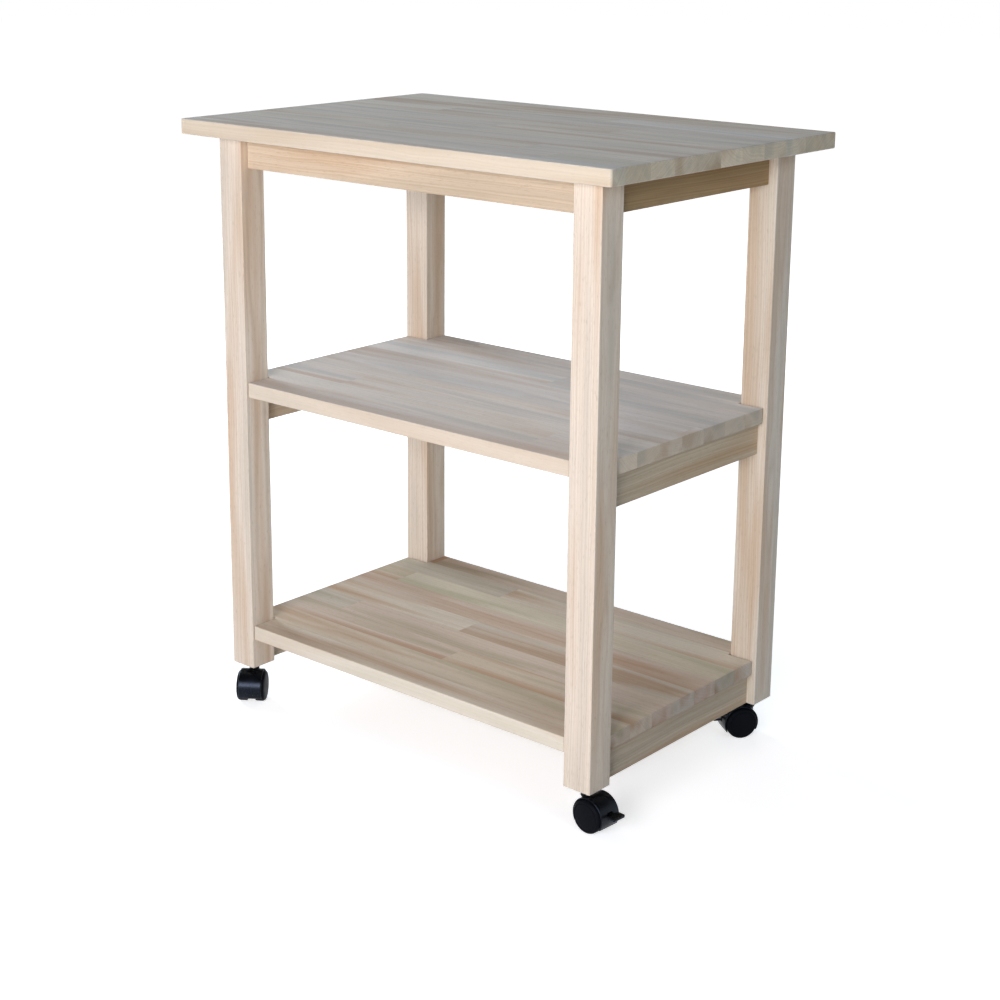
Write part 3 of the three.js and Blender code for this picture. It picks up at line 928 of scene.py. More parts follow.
@dataclass(frozen=True)
class CloudedFinish:
    """A surface whose colour and gloss drift a little in soft clouds, over a fine relief."""

    name: str
    base: str
    clouds: str  # the colour that the clouds bring
    roughness: float
    rough_spread: Point  # how far the roughness falls and rises
    rough_ends: Point  # the clouds' values at which it does
    cloud_mm: float
    cloud_detail: float
    cloud_ends: Point  # the clouds' values where their colour starts, and where it is full
    cloud_share: float  # how much of it shows at most
    relief_mm: Place  # the size of the relief's grain along each axis
    relief_depth_mm: float
    relief_strength: float

    def surface(self) -> dict[str, Any]:
        """Gives the shader's values that the clouds don't change."""
        return {}

    def build(self) -> Material:
        """Builds the material.

        Returns:
            The material.
        """
        material, tree = new_material(self.name)
        place = add_node(tree, "ShaderNodeTexCoord").outputs["Object"]
        scale = 1 / (self.cloud_mm * MM)
        noise = {"Vector": place, "Scale": scale, "Detail": self.cloud_detail, "Roughness": 0.6}
        cloud = add_node(tree, NOISE, noise).outputs[0]
        ends = ("From Min", "From Max", "To Min", "To Max")
        spans = (
            (*self.rough_ends, *(self.roughness + part for part in self.rough_spread)),
            (*self.cloud_ends, 0.0, self.cloud_share),
        )
        rough, share = (
            add_node(tree, RANGE, {"Value": cloud, **dict(zip(ends, span))}).outputs["Result"]
            for span in spans
        )
        mix = {"Factor": share, 6: linear(self.base), 7: linear(self.clouds)}
        colour = add_node(tree, MIX, mix, data_type="RGBA").outputs[2]
        grain = tuple(1 / (size * MM) for size in self.relief_mm)
        spread = add_node(tree, VECTOR, {0: place, 1: grain}, operation="MULTIPLY").outputs[0]
        relief = {"Vector": spread, "Scale": 1.0, "Detail": 2.0}
        height = add_node(tree, NOISE, relief).outputs[0]
        depth = {"Strength": self.relief_strength, "Distance": self.relief_depth_mm * MM}
        bump = add_node(tree, "ShaderNodeBump", {"Height": height, **depth}).outputs["Normal"]
        look = {"Base Color": colour, "Roughness": rough, "Normal": bump, **self.surface()}
        shader = add_node(tree, "ShaderNodeBsdfPrincipled", look)
        add_node(tree, "ShaderNodeOutputMaterial", {"Surface": shader.outputs["BSDF"]})
        return material


@dataclass(frozen=True)
class MouldedNylon(CloudedFinish):
    """Black nylon from a mould: near black, with a soft sheen tinted blue-grey as a painted
    reflection, and a spark-eroded skin.
    """

    base: str = "#070809"
    clouds: str = "#0E0F11"  # a trace of dust
    roughness: float = 0.28
    rough_spread: Point = (-0.06, 0.08)
    rough_ends: Point = (0.3, 0.7)
    cloud_mm: float = 100 / 9
    cloud_detail: float = 4.0
    cloud_ends: Point = (0.5, 0.8)
    cloud_share: float = 0.5
    relief_mm: Place = (0.9, 0.9, 0.9)  # about three times the real one, so that it shows
    relief_depth_mm: float = 0.02
    relief_strength: float = 0.4
    # Painted reflection: a blue-grey tint on the nylon's reflections, for the bluish light that
    # they reflect
    sheen: str = "#C9DCFF"
    shine: float = 0.1  # the specular level

    def surface(self) -> dict[str, Any]:
        """Gives nylon's own values for the shader, and the blue-grey tint of its painted
        reflections.
        """
        return {"IOR": 1.53, "Specular IOR Level": self.shine, "Specular Tint": linear(self.sheen)}


@dataclass(frozen=True)
class ZincPlate(CloudedFinish):
    """Steel with a bright zinc plating: a cool grey metal, a little cloudy, with drawing marks."""

    base: str = "#C9CCCE"
    clouds: str = "#A7AAAD"
    roughness: float = 0.32
    rough_spread: Point = (-0.08, 0.12)
    rough_ends: Point = (0.0, 1.0)
    cloud_mm: float = 50 / 11
    cloud_detail: float = 5.0
    cloud_ends: Point = (0.0, 1.0)
    cloud_share: float = 1.0
    relief_mm: Place = (10 / 3, 10 / 3, 5 / 13)  # marks that run round the piece
    relief_depth_mm: float = 0.02
    relief_strength: float = 0.2

    def surface(self) -> dict[str, Any]:
        """Gives metal's own value for the shader."""
        return {"Metallic": 1.0}


class Finishes:
    """Every finish on the cart, each built once."""

    def __init__(self) -> None:
        """Builds the materials."""
        board = {
            "grain": Grain.X,
            "heart_mm": (0.0, -90.0, 45.0),
            "heart_spread_mm": (0.0, 180.0, 40.0),
            "stain_mm": (380.0, 34.0),
            "figure_share": 0.5,
            "calm": 0.5,
        }
        self.top = Rubberwood(
            "sanded rubberwood of the top",
            pale="#EFE6DB",
            figure="#CCBDAB",
            warm="#E9DFD6",
            cool="#EBEFF1",
            end="#F8FCFF",
            # Painted light: the wide faces cooler, for the cool light from above, and the sides
            # warmer, for the warm light from the front
            wide="#FBFDFF",
            side="#F0EADD",
            tints=("#FFFFFF", "#F9F6F3", "#FCF9F4", "#F5F4F3", "#FBF7F1", "#FFFCF8"),
            stave_mm=(900.0, 43.0, 250.0),
            glue=0.08,
            **board,
        ).build()
        self.middle = Rubberwood(
            "sanded rubberwood of the middle shelf",
            pale="#E8E2DB",
            figure="#D5CABF",
            warm="#EEE3DA",
            cool="#EDF0F2",
            end="#F0EFEE",
            # Painted light: the sides tinted warmer and a little darker than the wide faces, for
            # how the light falls on them
            side="#FCF6E9",
            tints=("#FFFFFF", "#F9F6F4", "#FCF9F5", "#F6F4F3", "#FBF7F3"),
            stave_mm=(900.0, 43.0, 422.5),
            glue=0.07,
            seed=(0.71, 0.37, 0.13),
            **board,
        ).build()
        self.bottom = Rubberwood(
            "sanded rubberwood of the bottom shelf",
            pale="#E5E0D7",
            figure="#D2C7B9",
            warm="#E8D5C7",
            cool="#E9EBE4",
            end="#DCD9DB",
            # Painted shade: the wide faces darker and warmer, for the shaded lowest bay and its
            # warm bounce light
            wide="#EFE8E0",
            side="#FDFCF9",
            tints=("#FFFFFF", "#F6ECE5", "#FAF8EE", "#F1EEE9", "#F6EEE3", "#FFFCF6"),
            stave_mm=(900.0, 43.0, 97.5),
            glue=0.08,
            seed=(0.11, 0.67, 0.29),
            **board,
        ).build()
        self.post = Rubberwood(
            "sanded rubberwood, upright",
            Grain.Z,
            tints=("#FFFFFF", "#FDFBF9"),
            stave_mm=(30000.0, 276.7, 167.45),
            heart_mm=(0.0, 38.0, -8.0),
            heart_spread_mm=(0.0, 30.0, 16.0),
        ).build()
        self.rail_x = Rubberwood(
            "sanded rubberwood, lengthways",
            Grain.X,
            pale="#DDCEBB",
            figure="#C5B098",
            stave_mm=(30000.0, 167.45, 200.0),
        ).build()
        # The second wood, for the side aprons, is darker and browner than the rails' as painted
        # shade under the top's overhang, with painted warm bounce light
        self.rail_y, self.side_apron = (
            Rubberwood(f"sanded rubberwood, {where}", Grain.Y, pale=pale, figure=figure).build()
            for where, pale, figure in (
                ("crossways", "#D5C9B6", "#B9A78F"),
                ("crossways under the top", "#B49D7B", "#9B7F5E"),
            )
        )
        self.hood = MouldedNylon("moulded black nylon, satin", shine=0.2).build()
        self.wheel = MouldedNylon(
            "moulded black nylon, smooth",
            base="#0B0C0F",
            shine=0.05,
            roughness=0.47,
            relief_depth_mm=0.01,
        ).build()
        self.zinc = ZincPlate("zinc-plated steel").build()


# ---- The cart's sub-assemblies ----

BODY_OF = {
    node: body for body, nodes in frame["record"]["behaviour"]["bodies"].items() for node in nodes
}
CORNERS = [(end, side) for end in End for side in Side]


def corner_name(end: End, side: Side) -> str:
    """Names a corner of the cart, such as front_left."""
    return f"{end.name.lower()}_{side.name.lower()}"


def box_mm(node: str) -> tuple[Vector, Vector]:
    """Gives a CAD node's lowest and highest corner in millimetres."""
    low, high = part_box(node)
    return low / MM, high / MM


def foot_mm(node: str) -> Place:
    """Gives the floor's point under the middle of a CAD node, in millimetres."""
    low, high = box_mm(node)
    return (low.x + high.x) / 2, (low.y + high.y) / 2, 0.0


def posts_inside() -> Point:
    """Gives how far along x and y the posts' inner faces are from the middle, in millimetres."""
    _, post = box_mm("leg_front_left")
    return -post.x, -post.y


def add_piece(name: str, mesh: Mesh, material: Material, nodes: Sequence[str]) -> None:
    """Puts a finished piece in the scene, in place of the CAD nodes that it stands for.

    Args:
        name: the piece's name.
        mesh: its mesh, in place.
        material: its finish.
        nodes: the CAD nodes, all on one body.
    """
    mesh.materials.clear()
    mesh.materials.append(material)
    mesh.name = name
    piece = put_in_scene(name, mesh)
    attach(piece, BODY_OF[nodes[0]])
    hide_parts(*nodes)
    LOG.info("%s: %d faces, body %s", name, len(mesh.polygons), BODY_OF[nodes[0]])


@dataclass
class Worktop:
    """The top: a board glued up from staves, its corners and edges sanded round."""

    finishes: Finishes
    corners: Rounding = (4.0, 6)
    ease: Rounding = (1.5, 4)

    def build(self) -> None:
        """Makes the board."""
        low, high = box_mm("top_board")
        board = slab((high - low).xy, (low.z, high.z), self.corners, self.ease)
        add_piece("worktop", board, self.finishes.top, ["top_board"])


@dataclass
class PostFrame:
    """The four posts, and the aprons and rails between them."""

    finishes: Finishes
    post_corners: Rounding = (1.2, 3)
    post_ease: Rounding = (0.84, 3)
    rail_corners: Rounding = (0.7, 2)
    rail_ease: Rounding = (0.7, 3)
    bore_radius: float = 4.6
    bore_sides: int = 24
    bore_span: Point = (-1.0, 22.0)  # from the rail's lower face

    def build(self) -> None:
        """Makes the posts, aprons and rails."""
        for end, side in CORNERS:
            self.post(corner_name(end, side))
        for end in End:
            self.rail(f"apron_{end.name.lower()}", self.finishes.rail_x)
        _, half = posts_inside()
        for side in Side:
            name = side.name.lower()
            # Its wood is darkened as painted shade under the top's overhang
            self.rail(f"apron_{name}", self.finishes.side_apron, half)
            for level in ("middle", "bottom"):
                self.rail(f"rail_{level}_{name}", self.finishes.rail_y, half, bored=True)

    def post(self, corner: str) -> None:
        """Makes one post.

        Args:
            corner: the corner it stands in.
        """
        node = f"leg_{corner}"
        low, high = box_mm(node)
        post = slab((high - low).xy, (low.z, high.z), self.post_corners, self.post_ease)
        moved(post, shift=foot_mm(node))
        add_piece(f"post_{corner}", post, self.finishes.post, [node])

    def rail(
        self, node: str, finish: Material, half: float | None = None, bored: bool = False
    ) -> None:
        """Makes one apron or rail, up to the posts that its tenons enter.

        Args:
            node: the CAD node.
            finish: the wood.
            half: half the length along y that shows, or None for the node's own.
            bored: whether a screw's counterbore comes up from below.
        """
        low, high = box_mm(node)
        size = (high - low).xy
        if half is not None:
            size.y = 2 * half
        rail = slab(size, (low.z, high.z), self.rail_corners, self.rail_ease)
        if bored:
            hole = arc(self.bore_radius, 0, 360, self.bore_sides)[:-1]
            rail = cut_away(rail, hole, tuple(low.z + end for end in self.bore_span))
        moved(rail, shift=foot_mm(node))
        add_piece(f"{node}_board", rail, finish, [node])


@dataclass
class Shelves:
    """The two shelves: glued-up boards notched round the posts."""

    finishes: Finishes
    ease: float = 1.0
    notch_gap: Point = (1.5, 3.5)  # between a notch and its post, along x and y

    def build(self) -> None:
        """Makes both shelves."""
        x, y = (inside - gap for inside, gap in zip(posts_inside(), self.notch_gap))
        shelves = {"middle_shelf": self.finishes.middle, "bottom_shelf": self.finishes.bottom}
        for node, finish in shelves.items():
            low, high = box_mm(node)
            notch = [(high.x, y), (x, y), (x, high.y)]
            half = notch + [(-a, b) for a, b in notch[::-1]]
            outline = half + [(-a, -b) for a, b in half]
            board = eased(prism(outline, low.z, high.z), self.ease)
            add_piece(f"{node}_board", board, finish, [node])


@dataclass
class CornerFixings:
    """The blocks inside the aprons' corners, and the bolts and screws of the frame."""

    finishes: Finishes
    trees: dict[str, Tree]
    block_gap: float = 1.0
    block_thickness: float = 18.0
    apron_gap: float = 0.3
    block_ease: float = 0.8
    bolt_radius: float = 3.0
    bolt_bite: float = 22.0
    bolt_chamfer: float = 0.6
    bolt_sides: int = 32
    flange_radius: float = 7.0
    flange_thickness: float = 1.5
    flange_ease: Point = (0.3, 0.5)  # on the block's side, and towards the head
    hex_radius: float = 5.5
    hex_span: Point = (-0.2, 5.0)  # from the flange
    hex_ease: float = 0.6
    screw_radius: float = 2.0
    screw_sides: int = 24
    head_radius: float = 4.0
    head_height: float = 2.6
    head_shape: tuple[Point, ...] = (  # shares of the head's radius and height
        (0.0, 0.0),
        (0.55, 0.0),
        (0.8, 0.14),
        (0.95, 0.42),
        (1.0, 0.75),
        (1.0, 1.0),
    )
    recess_width: float = 1.0
    recess_reach: float = 2.4
    recess_span: Point = (-1.0, 1.6)  # from the head's face

    def build(self) -> None:
        """Makes the blocks, bolts and screws."""
        for end, side in CORNERS:
            self.block(end, side)
        self.bolts()
        tops = [f"top_screw_{corner_name(end, side)}" for end, side in CORNERS]
        self.screws("top_screws", tops, seed=3)
        levels = ("middle", "bottom")
        shelves = [f"shelf_screw_{level}_{side.name.lower()}" for level in levels for side in Side]
        self.screws("shelf_screws", shelves, seed=11)

    def block(self, end: End, side: Side) -> None:
        """Makes one corner block, its ends bevelled to lie on both aprons.

        Args:
            end: the cart's front or rear.
            side: its left or right.
        """
        node = f"corner_block_{corner_name(end, side)}"
        low, high = box_mm(node)
        face_x, face_y = (max(abs(low[axis]), abs(high[axis])) for axis in (0, 1))
        near = self.block_gap * math.sqrt(2)
        far = (self.block_gap + self.block_thickness) * math.sqrt(2)
        total = sum(posts_inside())
        outline = [
            (total - face_y - near, face_y),
            (total - face_y - far, face_y),
            (face_x, total - face_x - far),
            (face_x, total - face_x - near),
        ]
        outline = [(side.value * x, end.value * y) for x, y in outline]
        block = eased(prism(outline, low.z, high.z), self.block_ease)
        add_piece(f"{node}_wood", block, self.finishes.rail_x, [node])

    def bolts(self) -> None:
        """Makes the four flanged hex bolts."""
        seat = self.block_gap + self.block_thickness + self.apron_gap
        top = seat + self.flange_thickness
        tip, shank, chamfer = -self.bolt_bite, self.bolt_radius, self.bolt_chamfer
        rim, (below, above) = self.flange_radius, self.flange_ease
        profile = [
            (0, tip),
            (shank - chamfer, tip),
            (shank, tip + chamfer),
            (shank, seat),
            (rim - below, seat),
            (rim, seat + below),
            (rim, top - above),
            (rim - above, top),
            (0, top),
        ]
        body = turned(self.trees["turned"], profile, self.bolt_sides, self.finishes.zinc)
        span = (top + end for end in self.hex_span)
        head = eased(prism(arc(self.hex_radius, 0, 360, 6)[:-1], *span), self.hex_ease)
        bolt = moved(joined(body, head), turn_deg=(0, 90, 0))
        inner_x, inner_y = posts_inside()
        places = {}
        for end, side in CORNERS:
            node = f"corner_bolt_{corner_name(end, side)}"
            low, high = box_mm(node)
            place = (side.value * inner_x, end.value * inner_y, (low.z + high.z) / 2)
            places[node] = (place, math.atan2(-end.value, -side.value))
        self.set_out("corner_bolts", bolt, places, (1.0, 0.0, 0.0), 5)

    def screws(self, name: str, nodes: Sequence[str], seed: int) -> None:
        """Makes a set of pan head screws that point up, each with a cross recess.

        Args:
            name: the set's name.
            nodes: the CAD nodes.
            seed: the seed for how far each is turned.
        """
        low, high = box_mm(nodes[0])
        length, radius, height = high.z - low.z, self.screw_radius, self.head_height
        profile = [(self.head_radius * out, height * up) for out, up in self.head_shape]
        profile += [(radius, height), (radius, length - 2 * radius), (0, length)]
        screw = turned(self.trees["turned"], profile, self.screw_sides, self.finishes.zinc)
        reach, half = self.recess_reach, self.recess_width / 2
        cross = [(reach, -half), (reach, half), (half, half)]
        cross += [(half, reach), (-half, reach), (-half, half)]
        cross += [(-x, -y) for x, y in cross]
        screw = cut_away(screw, cross, self.recess_span)
        places = {node: ((*foot_mm(node)[:2], box_mm(node)[0].z), 0.0) for node in nodes}
        self.set_out(name, screw, places, (0.0, 0.0, 1.0), seed)

    def set_out(
        self,
        name: str,
        shape: Mesh,
        places: dict[str, tuple[Place, float]],
        spin: Place,
        seed: int,
    ) -> None:
        """Sets a plated fastener out on all its places.

        Args:
            name: the set's name.
            shape: one fastener.
            places: each CAD node's place, in millimetres, and turn about Z, in radians.
            spin: the fastener's own axis.
            seed: the seed for how far each is turned about it.
        """
        zinc = self.finishes.zinc
        mesh = set_on_points(self.trees["set_out"], shape, list(places.values()), spin, seed, zinc)
        add_piece(name, mesh, zinc, list(places))


@dataclass
class Caster:
    """A hooded twin-wheel swivel caster: x from the stem to the trailing side, y along the axle."""

    finishes: Finishes
    trees: dict[str, Tree]
    corner: str
    heading: float
    braked: bool
    trail: float = 15.0
    socket_bore: float = 4.3
    socket_tube: float = 5.7
    socket_lip: float = 1.2
    socket_ease: float = 0.4
    plated_sides: int = 40
    stem_radius: float = 4.0
    neck_radius: float = 3.7
    neck_chamfer: float = 0.5
    collar_radius: float = 6.5
    collar_span: Point = (45.3, 46.5)
    collar_ease: float = 0.3
    clip: tuple[Point, ...] = ((0.0, 9.0), (0.15, 7.5), (0.0, 6.0))  # how far out, and how far down
    stem_chamfer: float = 1.0
    wheel_radius: float = 20.0
    wheel_sides: int = 72
    wheel_inner: float = 5.8
    wheel_wall: float = 3.0
    wall_ease: float = 0.4
    tread_edge: float = 14.4
    tread_ease: Point = (0.25, 0.8)
    tread_drop: float = 1.0  # how far below the dome's edge the tread ends
    dome_reach: float = 18.2
    dome_steps: int = 8
    disc_radius: float = 16.8
    disc_crown: float = 0.8
    crown_steps: int = 4
    groove: tuple[Point, ...] = (  # how far inside the disc's edge, and how deep
        (0.3, 0.1),
        (0.6, 0.45),
        (1.2, 0.45),
        (1.5, 0.05),
    )
    face_inset: float = 1.8
    hub_radius: float = 5.0
    hub_ease: float = 0.3
    axle_hole: float = 2.8
    axle_end: float = 13.8
    spokes: int = 8
    spoke_width: float = 1.2
    spoke_inset: float = 1.5  # from the wheel's inner side
    spoke_bite: float = 1.0  # how far a rib reaches into hub and rim, in all
    hood_inner: float = 20.9
    hood_wall: float = 1.3
    hood_half_width: float = 15.2
    hood_ease: float = 1.1
    hood_span_deg: Point = (-30.0, 208.0)  # from the rear edge over the top to the front edge
    hood_steps: int = 72
    edge_steps: int = 6
    lip_chamfer: float = 0.15
    hood_hub_half: float = 5.3
    hub_sides: int = 32
    web_half: float = 1.5
    web_drop: float = 6.0
    web_steps: int = 48
    web_ease: Rounding = (0.3, 2)
    boss_radius: float = 6.6
    boss_bottom: float = 36.0
    boss_top: float = 45.1
    boss_chamfer: float = 0.6
    boss_shoulder: Point = (0.2, 0.7)
    boss_hole: Point = (4.0, 2.0)  # its radius and depth
    foot_radius: float = 5.2
    foot_bottom: float = 24.0
    foot_chamfer: float = 0.5
    seam_rise: float = 0.12
    seam_sink: float = 0.1
    seam_half: float = 0.35
    slot_size: Point = (10.0, 8.4)
    slot_span: Point = (-4.5, 4.4)  # about the pivot's height
    slot_reach: float = 19.0
    slot_corners: Rounding = (1.0, 3)
    pivot_reach: float = 10.0
    pivot_rise: float = 3.6
    plate_start: float = 24.2
    plate_tip: float = 36.0
    plate_width: float = 20.0
    plate_thickness: float = 3.2
    plate_corners: Rounding = (2.5, 5)
    plate_ease: Rounding = (0.8, 4)
    grip_size: Place = (0.9, 16.0, 0.6)
    grip_sink: float = 0.15
    grip_reaches: tuple[float, ...] = (4.0, 6.0, 8.0)
    grip_corners: Rounding = (0.3, 2)
    grip_ease: Rounding = (0.25, 2)
    arm_size: Point = (18.0, 1.8)
    arm_place: Point = (8.2, 2.7)  # from the pivot
    arm_corners: Rounding = (0.4, 2)
    arm_ease: Rounding = (0.3, 2)
    eye_radius: float = 3.4
    eye_span: Point = (1.8, 3.6)
    bridge_size: Point = (11.0, 7.2)
    bridge_reach: float = 20.6
    pin_radius: float = 1.5
    pin_half: float = 3.1
    pin_sides: int = 20

    def build(self) -> None:
        """Makes the caster's pieces."""
        self.socket()
        self.stem()
        self.hood()
        for letter, turn in (("a", 0), ("b", 180)):
            self.wheel(letter, turn)
        if self.braked:
            self.pedal()
        axle = frame["nodes"][f"caster_axle_{self.corner}"]
        axle.data.materials.clear()
        axle.data.materials.append(self.finishes.zinc)

    def round_piece(self, profile: Sequence[Point], steps: int, finish: Material) -> Mesh:
        """Turns a profile of radius and height about Z with the tree for it."""
        return turned(self.trees["turned"], profile, steps, finish)

    def plated(self, kind: str, profile: Sequence[Point]) -> None:
        """Makes a plated piece that is turned about the stem.

        Args:
            kind: which piece it is, as in its CAD node's name.
            profile: its corners of radius and height, in millimetres.
        """
        mesh = self.round_piece(profile, self.plated_sides, self.finishes.zinc)
        moved(mesh, shift=foot_mm(f"leg_{self.corner}"))
        name = f"{kind}_{self.corner}"
        add_piece(name, mesh, self.finishes.zinc, [f"caster_{name}"])

    def socket(self) -> None:
        """Makes the plated socket in the post, of which the flange shows."""
        low, high = box_mm(f"caster_socket_{self.corner}")
        bore, tube, rim = self.socket_bore, self.socket_tube, (high.x - low.x) / 2
        ease, lip = self.socket_ease, low.z + self.socket_lip
        profile = [
            (bore, low.z + ease),
            (bore + ease, low.z),
            (rim - ease, low.z),
            (rim, low.z + ease),
            (rim, lip),
            (tube, lip),
            (tube, high.z),
            (bore, high.z),
            (bore, low.z + ease),
        ]
        self.plated("socket", profile)

    def stem(self) -> None:
        """Makes the plated stem, of which the collar shows."""
        low, high = box_mm(f"caster_stem_{self.corner}")
        neck, shank, rim = self.neck_radius, self.stem_radius, self.collar_radius
        ease, (bottom, top) = self.collar_ease, self.collar_span
        profile = [
            (0, low.z),
            (neck - self.neck_chamfer, low.z),
            (neck, low.z + self.neck_chamfer),
            (neck, bottom),
            (rim - ease, bottom),
            (rim, bottom + ease),
            (rim, top - ease),
            (rim - ease, top),
            (shank, top),
            *((shank + out, high.z - drop) for out, drop in self.clip),
            (shank, high.z - self.stem_chamfer),
            (shank - self.stem_chamfer, high.z),
            (0, high.z),
        ]
        self.plated("stem", profile)

    def moulded(self, name: str, node: str, mesh: Mesh, slot: Slot) -> None:
        """Makes a nylon piece out of its mesh, set down under the post.

        Args:
            name: the piece's name.
            node: the CAD node that it stands for.
            mesh: the mesh, on the caster's own axes.
            slot: the record's slot for the hood's or the wheels' nylon.
        """
        finish = self.finishes.wheel if slot is Slot.WHEEL else self.finishes.hood
        moved(mesh, (0, 0, self.heading), foot_mm(f"leg_{self.corner}"))
        add_piece(name, mesh, finish, [node])

    def band(self, radius: float, wall: float, half: float, rounding: float) -> Mesh:
        """Bends a strip round the axle, from the hood's rear edge to its front edge.

        Args:
            radius: the strip's inner radius.
            wall: its thickness.
            half: half its width along the axle.
            rounding: the radius of its outer edges.

        Returns:
            The strip, about the axle.
        """
        chamfer, centre = self.lip_chamfer, (wall - rounding, half - rounding)
        section = [(0.0, half - chamfer), (chamfer, half)]
        section += arc(rounding, 90, 0, self.edge_steps, centre)
        section += [(x, -y) for x, y in section[::-1]]
        count = len(section)
        loop = bpy.data.meshes.new("section")
        edges = [(i, (i + 1) % count) for i in range(count)]
        loop.from_pydata([(x * MM, y * MM, 0) for x, y in section], edges, [])
        start, end = (math.radians(a) for a in self.hood_span_deg)
        inputs = {
            "Radius": radius * MM,
            "Start": start,
            "Sweep": end - start,
            "Steps": self.hood_steps,
            "Finish": self.finishes.hood,
        }
        mesh = settled(loop, NODES={"node_group": self.trees["hood"], "inputs": inputs})
        mesh.shade_smooth()
        return settled(mesh, WEIGHTED_NORMAL={"keep_sharp": False})

    def hood(self) -> None:
        """Makes the hood: a band with a mould seam, a web between the wheels, a hub and a boss."""
        black = self.finishes.hood
        outer, sink = self.hood_inner + self.hood_wall, self.seam_sink
        shell = self.band(self.hood_inner, self.hood_wall, self.hood_half_width, self.hood_ease)
        seam = self.band(outer - sink, sink + self.seam_rise, self.seam_half, sink)
        reach = self.hood_inner + self.hood_wall / 2
        dip = math.degrees(math.asin(self.web_drop / reach))
        sheet = prism(arc(reach, -dip, 180 + dip, self.web_steps), -self.web_half, self.web_half)
        web = eased(sheet, *self.web_ease)
        hub, half, ease = self.hub_radius, self.hood_hub_half, self.hub_ease
        hub_profile = [
            (self.axle_hole, -half),
            (hub - ease, -half),
            (hub, ease - half),
            (hub, half - ease),
            (hub - ease, half),
            (self.axle_hole, half),
        ]
        parts = [shell, seam, web, self.round_piece(hub_profile, self.hub_sides, black)]
        for mesh in parts:
            moved(mesh, (90, 0, 0), (self.trail, 0, self.wheel_radius))
        foot, boss, chamfer = self.foot_radius, self.boss_radius, self.boss_chamfer
        bottom, top, (small, large) = self.boss_bottom, self.boss_top, self.boss_shoulder
        hole, depth = self.boss_hole
        boss_profile = [
            (0, self.foot_bottom),
            (foot - self.foot_chamfer, self.foot_bottom),
            (foot, self.foot_bottom + self.foot_chamfer),
            (foot, bottom),
            (boss - chamfer, bottom),
            (boss, bottom + chamfer),
            (boss, top - large),
            (boss - small, top - small),
            (boss - large, top),
            (hole, top),
            (hole, top - depth),
            (0, top - depth),
        ]
        if self.braked:
            outline = rounded_rectangle(*self.slot_size, *self.slot_corners)
            place = (self.trail + self.slot_reach, 0, self.wheel_radius + self.pivot_rise)
            parts[:3] = [cut_away(mesh, outline, self.slot_span, place) for mesh in parts[:3]]
        parts.append(self.round_piece(boss_profile, self.plated_sides, black))
        name = f"hood_{self.corner}"
        self.moulded(name, f"caster_{name}", joined(*parts), Slot.HOOD)

    def wheel(self, letter: str, turn: float) -> None:
        """Makes one wheel: a tread, a domed face with a ring groove, and ribs towards the hood.

        Args:
            letter: which wheel of the pair.
            turn: its turn about the caster's z, in degrees.
        """
        inner, edge, reach = self.wheel_inner, self.tread_edge, self.dome_reach
        radius, disc, hub = self.wheel_radius, self.disc_radius, self.hub_radius
        rim, ease, (shallow, deep) = radius - self.wheel_wall, self.hub_ease, self.tread_ease
        profile = [
            (0, self.axle_end),
            (self.axle_hole, self.axle_end),
            (self.axle_hole, inner),
            (hub - ease, inner),
            (hub, inner + ease),
            (hub, edge),
            (rim, edge),
            (rim, inner + self.wall_ease),
            (rim + self.wall_ease, inner),
            (radius - deep, inner),
            (radius - shallow, inner + shallow),
            (radius, inner + deep),
            (radius, edge - self.tread_drop),
        ]
        profile += [
            (disc + (radius - disc) * out, edge + (reach - edge) * up)
            for out, up in arc(1, 0, 90, self.dome_steps)
        ]
        profile += [(disc - inset, reach - depth) for inset, depth in self.groove]
        for step in range(self.crown_steps + 1):
            share = step / self.crown_steps
            rise = self.disc_crown * math.sin(math.pi / 2 * share)
            profile.append(((disc - self.face_inset) * (1 - share), reach + rise))
        mesh = self.round_piece(profile, self.wheel_sides, self.finishes.wheel)
        rib = (rim - hub + self.spoke_bite, self.spoke_width, edge - inner - self.spoke_inset)
        inputs = {
            "Count": self.spokes,
            "Reach": (rim + hub) / 2 * MM,
            "Lift": (edge + inner + self.spoke_inset) / 2 * MM,
            "Rib Size": tuple(size * MM for size in rib),
            "Finish": self.finishes.wheel,
        }
        mesh = settled(mesh, NODES={"node_group": self.trees["spokes"], "inputs": inputs})
        moved(mesh, (-90, 0, 0))
        moved(mesh, (0, 0, turn), (self.trail, 0, self.wheel_radius))
        name = f"wheel_{self.corner}_{letter}"
        self.moulded(name, f"caster_{name}", mesh, Slot.WHEEL)

